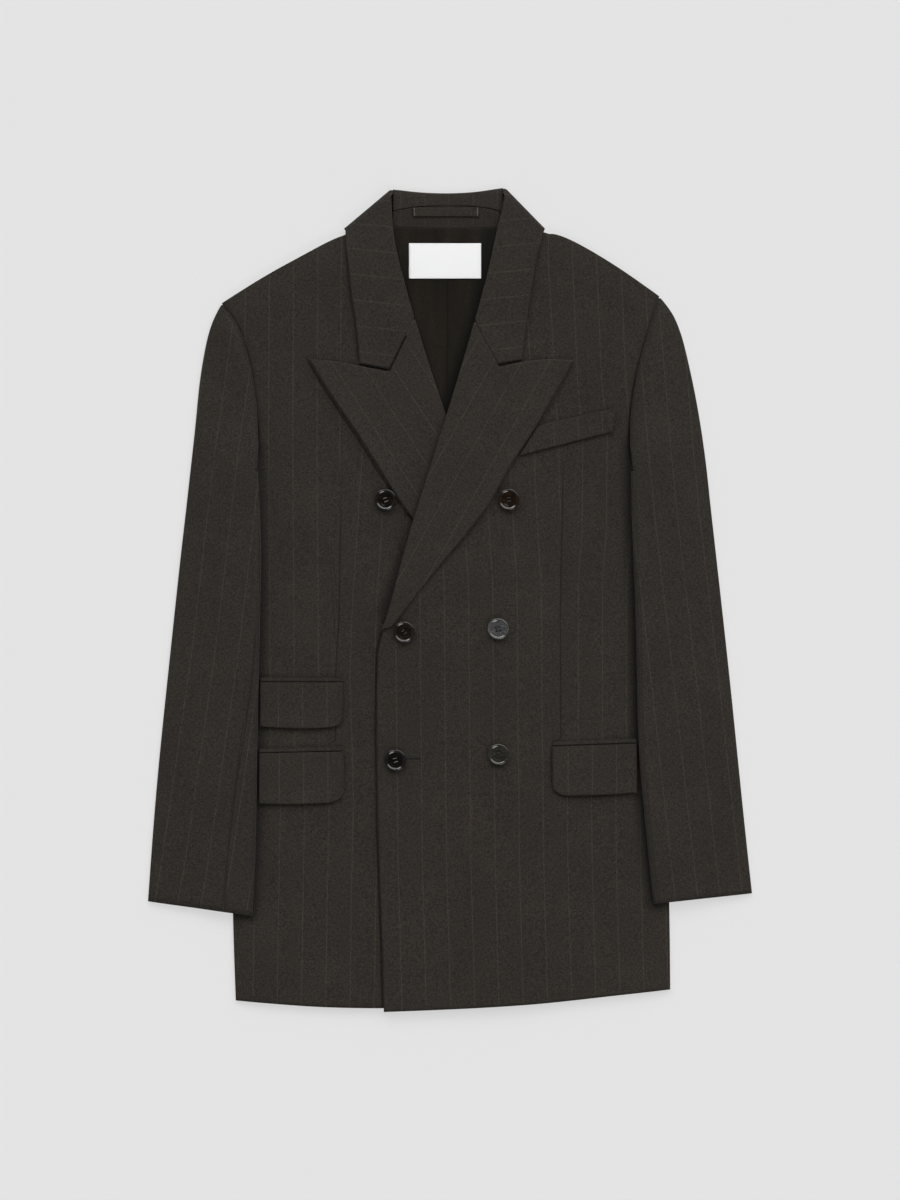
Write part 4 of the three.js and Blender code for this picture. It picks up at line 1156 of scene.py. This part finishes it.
@dataclass
class Neck:
    """Collar leaf, stand and what shows inside the neck.

    Attributes:
        leaf: The turned-down part of the collar.
        striped: The stand and the facing.
        lining: The back lining.
        label: The bare label.
        loop: The hanger loop.
    """

    leaf: Collar = field(default_factory=lambda: Collar(
        "collar_leaf", "collar_right", (400, 100), 0.0245, ("lapel_left", "lapel_right"), "folded",
        reach=3.4))
    striped: tuple[ClothPiece, ...] = (
        ClothPiece("collar_stand", "upright", (112, 26), 0.0023, ("back_left", "back_right"), "folded"),
        ClothPiece("neck_facing", "upright", (110, 23), 0.0022, ("back_left", "back_right")),
    )
    lining: ClothPiece = field(default_factory=lambda: ClothPiece(
        "back_lining", None, (134, 194), 0.0142, ("back_left", "back_right"), finish=Slot.LINING, levels=4))
    label: ClothPiece = field(default_factory=lambda: ClothPiece(
        "label_blank", None, (72, 35), 0.0025, ("back_lining",), finish=Slot.LABEL))
    loop: ClothPiece = field(default_factory=lambda: ClothPiece(
        "hanger_loop", None, (66, 10), 0.00058, ("neck_facing",), levels=4))

    def build(self, cloth: bpy.types.Material, lining: bpy.types.Material, label: bpy.types.Material,
              surface: Surface) -> None:
        """Makes the neck's pieces from the inside out."""
        self.lining.build(lining, surface)
        for piece in (*self.striped, self.leaf):
            piece.build(cloth, surface)
        self.label.build(label, surface)
        self.loop.build(cloth, surface)


@dataclass
class Sleeves:
    """Two-piece sleeves: the top part goes round the outer fold, the under part round the inner one.

    Attributes:
        top_cut: Width, length and area of each top part's cut.
        under_cut: The same of each under part's.
    """

    top_cut: dict[Wearer, tuple[float, float, float]] = field(default_factory=lambda: {
        Wearer.LEFT: (190, 612, 0.0780), Wearer.RIGHT: (180, 618, 0.0745)})
    under_cut: dict[Wearer, tuple[float, float, float]] = field(default_factory=lambda: {
        Wearer.LEFT: (68, 434, 0.0192), Wearer.RIGHT: (72, 446, 0.0228)})

    def build(self, material: bpy.types.Material, surface: Surface) -> None:
        """Makes both sleeves."""
        for side in Wearer:
            way = f"sleeve_{side.value}"
            for part, cuts in (("under", self.under_cut), ("top", self.top_cut)):
                width, length, area = cuts[side]
                piece = ClothPiece(f"sleeve_{side.value}_{part}", way, (width, length), area,
                                   (f"front_{side.value}",), "folded", reach=0.7 if part == "top" else 0.0)
                piece.build(material, surface)


@dataclass
class Pockets(PieceSet):
    """Welts and flaps."""

    pieces: tuple[ClothPiece, ...] = (
        ClothPiece("ticket_welt", "flap_ticket", (83, 10), 0.00040, ("front_right",)),
        ClothPiece("ticket_flap", "flap_ticket", (82, 47), 0.0038, ("front_right",)),
        ClothPiece("pocket_welt_right", "flap_right", (83, 10), 0.00040, ("front_right",)),
        ClothPiece("pocket_flap_right", "flap_right", (85, 53), 0.0044, ("front_right",)),
        ClothPiece("pocket_welt_left", "flap_left", (84, 10), 0.00041, ("front_left",)),
        ClothPiece("pocket_flap_left", "flap_left", (84, 52), 0.0043, ("front_left",)),
        ClothPiece("chest_welt", "chest", (97, 27), 0.0022, ("front_left",)),
    )


# Buttons


HOLE_OFF = 1.75               # distance of each hole from a button's middle, along X and along Y


@dataclass
class Buttons:
    """Six turned horn buttons with four holes.

    Attributes:
        height: Height of the rim.
        bore: Radius of a hole.
        turns: Degrees by which each button is turned, from the first to the last.
        tints_and_painted_reflection: Body and vein colour of each button's horn. The fourth is pale grey, a
            painted reflection on its face.
        profile: The turned section as (radius, height), from the middle of the face to that of the back.
    """

    height: float = 3.4
    bore: float = 0.95
    turns: tuple[float, ...] = (22.0, 8.0, 41.0, 12.0, 17.0, 4.0)
    tints_and_painted_reflection: tuple[tuple[tuple[float, ...], tuple[float, ...]], ...] = (
        ((0.0026, 0.0018, 0.0015, 1.0), (0.010, 0.006, 0.004, 1.0)),
        ((0.0062, 0.0032, 0.0014, 1.0), (0.023, 0.0105, 0.004, 1.0)),
        ((0.0042, 0.0033, 0.0017, 1.0), (0.017, 0.0125, 0.006, 1.0)),
        # Pale grey: a painted reflection, not the horn's colour.
        ((0.0400, 0.0410, 0.0400, 1.0), (0.082, 0.085, 0.082, 1.0)),
        ((0.0026, 0.0017, 0.0017, 1.0), (0.010, 0.006, 0.0055, 1.0)),
        ((0.0145, 0.0140, 0.0108, 1.0), (0.033, 0.0315, 0.025, 1.0)),
    )
    profile: Table = ((0.0, 1.95), (3.4, 1.98), (5.0, 2.12), (6.3, 2.42), (6.9, 2.52), (7.4, 2.44),
                      (7.9, 2.5), (8.6, 2.98), (9.2, 3.34), (9.7, 3.4), (10.2, 3.22), (10.55, 2.75),
                      (10.7, 2.1), (10.5, 1.4), (9.6, 0.7), (7.7, 0.2), (5.0, 0.0), (0.0, 0.0))

    def blank(self) -> bpy.types.Mesh:
        """The turned disc with its four holes, its underside at nought."""
        disc = bmesh.new()
        rim = [disc.verts.new((r * MM, 0.0, z * MM)) for r, z in self.profile]
        edges = [disc.edges.new(pair) for pair in zip(rim, rim[1:])]
        bmesh.ops.spin(disc, geom=rim + edges, cent=(0, 0, 0), axis=(0, 0, 1), angle=2 * math.pi, steps=72)
        bmesh.ops.remove_doubles(disc, verts=disc.verts, dist=1e-6)
        bmesh.ops.recalc_face_normals(disc, faces=disc.faces)
        blank = place_object("button_blank", mesh_from(disc, "button_blank"))
        drill = place_object("button_drill", self.drill())
        cut = blank.modifiers.new("holes", "BOOLEAN")
        cut.operation, cut.object, cut.solver = "DIFFERENCE", drill, "EXACT"
        result = applied(blank)
        for made in (blank, drill):
            bpy.data.objects.remove(made)
        result.polygons.foreach_set("use_smooth", [True] * len(result.polygons))
        result.set_sharp_from_angle(angle=math.radians(38))
        return result

    def drill(self) -> bpy.types.Mesh:
        """Four flared pins that cut the holes."""
        pins = bmesh.new()
        for sign_x in (-1, 1):
            for sign_y in (-1, 1):
                spot = Matrix.Translation((sign_x * HOLE_OFF * MM, sign_y * HOLE_OFF * MM, 0.0))
                bmesh.ops.create_cone(pins, cap_ends=True, segments=20, radius1=0.8 * self.bore * MM,
                                      radius2=1.25 * self.bore * MM, depth=4 * self.height * MM, matrix=spot)
        return mesh_from(pins, "button_drill")

    def build(self) -> list[tuple[Vector, float]]:
        """Makes the buttons where their solids are.

        Returns:
            The middle of each button's face in millimetres, and its turn in radians.
        """
        blank = self.blank()
        places = []
        for number, (turn, (dark, vein)) in enumerate(zip(self.turns, self.tints_and_painted_reflection), start=1):
            node = f"button_{number}"
            low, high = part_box(node)
            centre = (low + high) / 2
            lift = drape(np.array([[centre.x / MM, centre.y / MM, low.z / MM]]), node)[0]
            mesh = blank.copy()
            place = Vector((centre.x, centre.y, low.z + lift * MM))
            mesh.transform(Matrix.Translation(place) @ Matrix.Rotation(math.radians(turn), 4, "Z"))
            mesh.materials.clear()
            mesh.materials.append(Horn(f"horn_{number}", dark, vein, 0.37 * number).material())
            button = place_object(f"{node}_horn", mesh)
            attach(button, "root")
            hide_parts(node)
            places.append((place / MM + Vector((0.0, 0.0, self.profile[0][1])), math.radians(turn)))
        return places


# Sewing


def stitch_tree() -> bpy.types.GeometryNodeTree:
    """Stitches along a path.

    Returns:
        A tree that lays a short thread at even steps along a path of edges, each turned by an angle from
        the path and a little at random.
    """
    tree = bpy.data.node_groups.new("stitch_run", "GeometryNodeTree")
    ports = tree.interface
    ports.new_socket("Path", in_out="INPUT", socket_type="NodeSocketGeometry")
    for name, value in (("Step", 0.002), ("Length", 0.0015), ("Thickness", 0.0003), ("Turn", 0.0),
                        ("Looseness", 0.05)):
        ports.new_socket(name, in_out="INPUT", socket_type="NodeSocketFloat").default_value = value
    ports.new_socket("Seed", in_out="INPUT", socket_type="NodeSocketInt")
    ports.new_socket("Thread", in_out="INPUT", socket_type="NodeSocketMaterial")
    ports.new_socket("Stitches", in_out="OUTPUT", socket_type="NodeSocketGeometry")
    bench = NodeBench(tree)
    into, out = bench.put("NodeGroupInput"), bench.put("NodeGroupOutput")
    ask = into.outputs
    path = bench.feed(bench.put("GeometryNodeMeshToCurve"), a0=ask["Path"])
    spaced = bench.put("GeometryNodeResampleCurve", mode="LENGTH")
    bench.feed(spaced, Curve=path.outputs[0], Length=ask["Step"])
    tangent = bench.put("GeometryNodeInputTangent")
    facing = bench.feed(bench.put("FunctionNodeAlignRotationToVector", axis="X"), Vector=tangent.outputs[0])
    loose = bench.put("FunctionNodeRandomValue", data_type="FLOAT")
    least = bench.sum_of("MULTIPLY", ask["Looseness"], -1.0)
    bench.feed(loose, a2=least, a3=ask["Looseness"], Seed=ask["Seed"])
    angle = bench.sum_of("ADD", ask["Turn"], loose.outputs[1])
    euler = bench.feed(bench.put("ShaderNodeCombineXYZ"), a2=angle)
    turn = bench.feed(bench.put("FunctionNodeEulerToRotation"), a0=euler.outputs[0])
    turned = bench.put("FunctionNodeRotateRotation", rotation_space="LOCAL")
    bench.feed(turned, a0=facing.outputs[0], a1=turn.outputs[0])
    strand = bench.feed(bench.put("GeometryNodeMeshUVSphere"), Segments=6, Rings=5, Radius=0.5)
    size = bench.put("ShaderNodeCombineXYZ")
    bench.feed(size, a0=ask["Length"], a1=ask["Thickness"], a2=ask["Thickness"])
    laid = bench.put("GeometryNodeInstanceOnPoints")
    bench.feed(laid, Points=spaced.outputs[0], Instance=strand.outputs[0], Rotation=turned.outputs[0],
               Scale=size.outputs[0])
    real = bench.feed(bench.put("GeometryNodeRealizeInstances"), a0=laid.outputs[0])
    soft = bench.feed(bench.put("GeometryNodeSetShadeSmooth"), a0=real.outputs[0])
    finished = bench.feed(bench.put("GeometryNodeSetMaterial"), a0=soft.outputs[0], Material=ask["Thread"])
    bench.join(finished.outputs[0], out.inputs[0])
    return tree


@dataclass
class Stitcher:
    """Sews runs of stitches on the laid cloth.

    Attributes:
        surface: The cloth.
        tree: The stitches' node tree.
    """

    surface: Surface
    tree: bpy.types.GeometryNodeTree = field(default_factory=stitch_tree)

    def path(self, points: list[tuple[float, ...]], lift: float) -> bpy.types.Mesh:
        """Edges through points on the cloth.

        Args:
            points: Points of two numbers on the cloth, or of three numbers in space.
            lift: Height above the cloth in millimetres.

        Returns:
            A mesh of edges, in metres.
        """
        placed = [p if len(p) == 3 else (*p, self.surface.height(*p) + lift) for p in points]
        mesh = bpy.data.meshes.new("stitch_path")
        mesh.from_pydata([Vector(p) * MM for p in placed], [(i, i + 1) for i in range(len(placed) - 1)], [])
        return mesh

    def sew(self, name: str, runs: list[list[tuple[float, ...]]], thread: bpy.types.Material, slot: Slot,
            lift: float = 0.1, **values: float) -> bpy.types.Object:
        """Sews one piece of stitching.

        Args:
            name: Name of the piece.
            runs: Paths, each a list of points in millimetres.
            thread: The thread's material.
            slot: The kind of finish that the thread goes with. Not used.
            lift: Height above the cloth in millimetres.
            **values: The tree's inputs by name, lengths in millimetres and Turn in radians.

        Returns:
            The stitches as a plain mesh that rides on the garment.
        """
        shape = bmesh.new()
        for run in runs:
            mesh = self.path(run, lift)
            shape.from_mesh(mesh)
            bpy.data.meshes.remove(mesh)
        sewn = place_object(name, mesh_from(shape, name))
        modifier = sewn.modifiers.new("stitches", "NODES")
        modifier.node_group = self.tree
        sockets = {item.name: item.identifier for item in self.tree.interface.items_tree
                   if item.in_out == "INPUT"}
        for key, value in values.items():
            modifier[sockets[key]] = value if key in ("Turn", "Looseness", "Seed") else value * MM
        modifier[sockets["Thread"]] = thread
        fixed = applied(sewn)
        sewn.modifiers.clear()
        sewn.data = fixed
        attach(sewn, "root")
        return sewn


def straight(start: tuple[float, float], end: tuple[float, float],
             step: float = 2.0) -> list[tuple[float, float]]:
    """Points at even steps from start to end."""
    count = max(2, int(math.dist(start, end) / step) + 1)
    first, run = np.array(start), np.array(end) - np.array(start)
    return [tuple(first + run * i / (count - 1)) for i in range(count)]


@dataclass
class Sewing:
    """Visible hand and machine stitches.

    Attributes:
        buttonhole: Ends of the hole beside the lowest fastening button.
        tacks: Bar tacks of the hanger loop, as (x, low y, high y).
        label: Left, right, lower and upper edge of the label's stitches.
        facing_fell: y of the felled edge of the facing.
        pale_sewn: The buttons that are sewn with the paler thread, counted from 0.
        strands: How far each strand of a bar lies beside its middle.
        bulge: How high a strand stands between the holes.
    """

    buttonhole: Table = SLIT
    tacks: Table = ((-35.6, 383.0, 391.2), (27.4, 383.0, 391.2))
    label: tuple[float, float, float, float] = (-39.6, 29.6, 321.6, 354.4)
    facing_fell: float = 371.6
    pale_sewn: tuple[int, ...] = (0, 4)
    strands: tuple[float, ...] = (-0.32, 0.0, 0.32)
    bulge: float = 0.25

    def build(self, stitcher: Stitcher, buttons: list[tuple[Vector, float]]) -> None:
        """Sews everything."""
        dark = SewingThread("thread_brown", (0.005, 0.004, 0.003, 1.0), (0.018, 0.014, 0.011, 1.0)).material()
        pale = SewingThread("thread_stone", (0.055, 0.048, 0.038, 1.0), (0.11, 0.10, 0.08, 1.0)).material()
        white = SewingThread("thread_white", (0.66, 0.66, 0.65, 1.0), (0.80, 0.80, 0.79, 1.0)).material()
        (x0, y0), (x1, _) = self.buttonhole
        sides = [straight((x0, y0 + s * 1.5), (x1, y0 + s * 1.5)) for s in (-1, 1)]
        stitcher.sew("buttonhole_purl", sides, dark, Slot.SUITING, lift=0.14, Step=0.55, Length=1.1,
                     Thickness=0.42, Turn=math.pi / 2, Looseness=0.12, Seed=3)
        bar = [straight((x1 + 0.6, y0 - 1.6), (x1 + 0.6, y0 + 1.6), 0.4)]
        stitcher.sew("buttonhole_bar", bar, dark, Slot.SUITING, lift=0.2, Step=0.4, Length=1.5,
                     Thickness=0.4, Turn=math.pi / 2, Looseness=0.1, Seed=4)
        tacks = [straight((x, low), (x, high), 0.5) for x, low, high in self.tacks]
        stitcher.sew("loop_tacks", tacks, pale, Slot.SUITING, lift=0.2, Step=0.5, Length=1.9,
                     Thickness=0.45, Turn=math.pi / 2, Looseness=0.15, Seed=5)
        left, right, low, high = self.label
        corners = [(left, low), (right, low), (right, high), (left, high), (left, low)]
        ring = [point for a, b in zip(corners, corners[1:]) for point in straight(a, b)[:-1]] + [corners[0]]
        stitcher.sew("label_stitches", [ring], white, Slot.LABEL, lift=0.02, Step=2.4, Length=1.8,
                     Thickness=0.3, Turn=0.0, Looseness=0.03, Seed=6)
        fell = [(x, self.facing_fell - 1.2 + 2.0 * (x / 60.0) ** 2) for x in np.linspace(-54, 48, 60)]
        stitcher.sew("facing_fell", [fell], dark, Slot.LINING, lift=0.1, Step=2.6, Length=1.3,
                     Thickness=0.35, Turn=0.9, Looseness=0.15, Seed=7)
        self.sew_buttons(stitcher, buttons, dark, pale)

    def sew_buttons(self, stitcher: Stitcher, buttons: list[tuple[Vector, float]], dark: bpy.types.Material,
                    pale: bpy.types.Material) -> None:
        """Sews each button on with two bars of thread, each of three strands from hole to hole.

        Args:
            stitcher: The stitcher.
            buttons: The middle of each button's face in millimetres, and its turn in radians.
            dark: Thread of most buttons.
            pale: Thread of the others.
        """
        dull, bright = [], []
        steps = [(t, Vector((0.0, 0.0, self.bulge * math.sin(math.pi * t))))
                 for t in np.linspace(0.0, 1.0, 7)]
        for number, (centre, turn) in enumerate(buttons):
            runs = bright if number in self.pale_sewn else dull
            spin = Matrix.Rotation(turn, 4, "Z")
            for row in (-1, 1):
                first, last = [centre + spin @ Vector((s * HOLE_OFF, row * HOLE_OFF, 0.25)) for s in (-1, 1)]
                for offset in self.strands:
                    shift = spin @ Vector((0.0, offset, 0.08 if offset == 0.0 else 0.0))
                    runs.append([tuple(first.lerp(last, t) + shift + rise) for t, rise in steps])
        for name, runs, thread in (("button_threads", dull, dark), ("button_threads_pale", bright, pale)):
            stitcher.sew(name, runs, thread, Slot.BUTTON, Step=0.5, Length=0.9, Thickness=0.4,
                         Turn=0.0, Looseness=0.05, Seed=8)


# Studio


@dataclass
class Studio:
    """Pale floor, soft light and a camera that looks straight down.

    Attributes:
        view_height: Height of the picture at the floor, in metres.
        centre_y: y of the middle of the picture.
        lens: Focal length in millimetres.
        sensor: Width of the sensor in millimetres.
        glow: How bright the floor is by itself.
        levels: Brightness of the surroundings, by the sine of the height above the horizon.
        boxes: Softboxes, each the direction to its middle, its brightness and the cosine of its spread.
    """

    view_height: float = 1.2
    centre_y: float = -0.0005
    lens: float = 90.0
    sensor: float = 36.0
    glow: float = 0.562
    levels: Table = ((0.0, 0.768), (0.20, 0.72), (0.34, 0.52), (0.50, 0.36), (0.64, 0.12), (0.94, 0.05),
                     (1.0, 0.05))
    boxes: tuple[tuple[tuple[float, ...], float, float], ...] = (
        ((0.50, 1.02, 0.85), 3.05, 0.84), ((-0.50, 1.0, 0.60), 8.0, 0.965), ((0.45, -1.0, 0.66), 6.0, 0.965))

    def floor(self) -> None:
        """A pale floor that stands as the background, lit from behind as on a light table."""
        mesh = bpy.data.meshes.new("floor")
        half = 30.0
        corners = [(-half, -half, 0.0), (half, -half, 0.0), (half, half, 0.0), (-half, half, 0.0)]
        mesh.from_pydata(corners, [], [(0, 1, 2, 3)])
        floor = place_object("floor", mesh)
        material, bench, shader = new_material("studio_floor")
        noise = bench.noise(bench.place(), Scale=3.0, Detail=2.0)
        bench.join(bench.blend(noise, (0.198, 0.198, 0.198, 1.0), (0.202, 0.202, 0.202, 1.0)),
                   shader.inputs["Base Color"])
        bench.feed(shader, Roughness=0.9, Specular_IOR_Level=0.0, Emission_Color=(1.0, 1.0, 1.0, 1.0),
                   Emission_Strength=self.glow)
        mesh.materials.append(material)

    def camera(self) -> None:
        """The photograph's view: straight down, upright along Y."""
        data = bpy.data.cameras.new("camera")
        data.lens, data.sensor_width = self.lens, self.sensor
        camera = place_object("camera", data)
        distance = self.lens / self.sensor * self.view_height
        camera.location = (0.0, self.centre_y, distance)
        bpy.context.scene.camera = camera

    def sky(self) -> None:
        """Soft light from all round: a bright band with three softboxes in it, and a dark zenith."""
        world = bpy.data.worlds.new("studio")
        world.use_nodes = True
        bench = NodeBench(world.node_tree)
        aim = bench.place()
        height = bench.feed(bench.put("ShaderNodeSeparateXYZ"), a0=aim).outputs[2]
        ramp = bench.feed(bench.put("ShaderNodeValToRGB"), a0=height)
        stops = ramp.color_ramp.elements
        for place, level in self.levels[1:-1]:
            stops.new(place).color = (level / 2, level / 2, level / 2, 1.0)
        for end in (0, -1):
            level = self.levels[end][1] / 2
            stops[end].color = (level, level, level, 1.0)
        boxes = []
        for towards, power, edge in self.boxes:
            turn = bench.put("ShaderNodeVectorMath", operation="DOT_PRODUCT")
            bench.feed(turn, a0=aim, a1=Vector(towards).normalized())
            inside = bench.over(turn.outputs["Value"], edge, 3.0 / (1.0 - edge))
            boxes.append(bench.sum_of("MULTIPLY", inside, power))
        light = bench.sum_of("MULTIPLY", ramp.outputs[0], 2.0)
        for box in boxes:
            light = bench.sum_of("ADD", light, box)
        background = world.node_tree.nodes["Background"]
        bench.join(light, background.inputs[1])
        background.inputs[0].default_value = (1.0, 1.0, 1.0, 1.0)
        bpy.context.scene.world = world

    def build(self) -> None:
        """Makes the floor, the light and the camera."""
        self.floor()
        self.camera()
        self.sky()
        bpy.context.scene.view_settings.view_transform = "Standard"


def main() -> None:
    """Builds the garment from the floor up, then the studio."""
    logging.basicConfig(level=logging.INFO, format="%(message)s")
    shared = Finishes()
    cloth = Suiting().material(shared)
    facing = Suiting("suiting_facing", (0.0114, 0.0089, 0.0068, 1.0), stripe_share=0.21).material(shared)
    surface = Surface()
    Body().build(cloth, surface)
    Lapels().build(facing, surface)
    Neck().build(facing, LiningTwill().material(shared), LabelSatin().material(shared), surface)
    Sleeves().build(cloth, surface)
    Pockets().build(cloth, surface)
    Sewing().build(Stitcher(surface), Buttons().build())
    Studio().build()


if __name__ == "__main__":
    main()
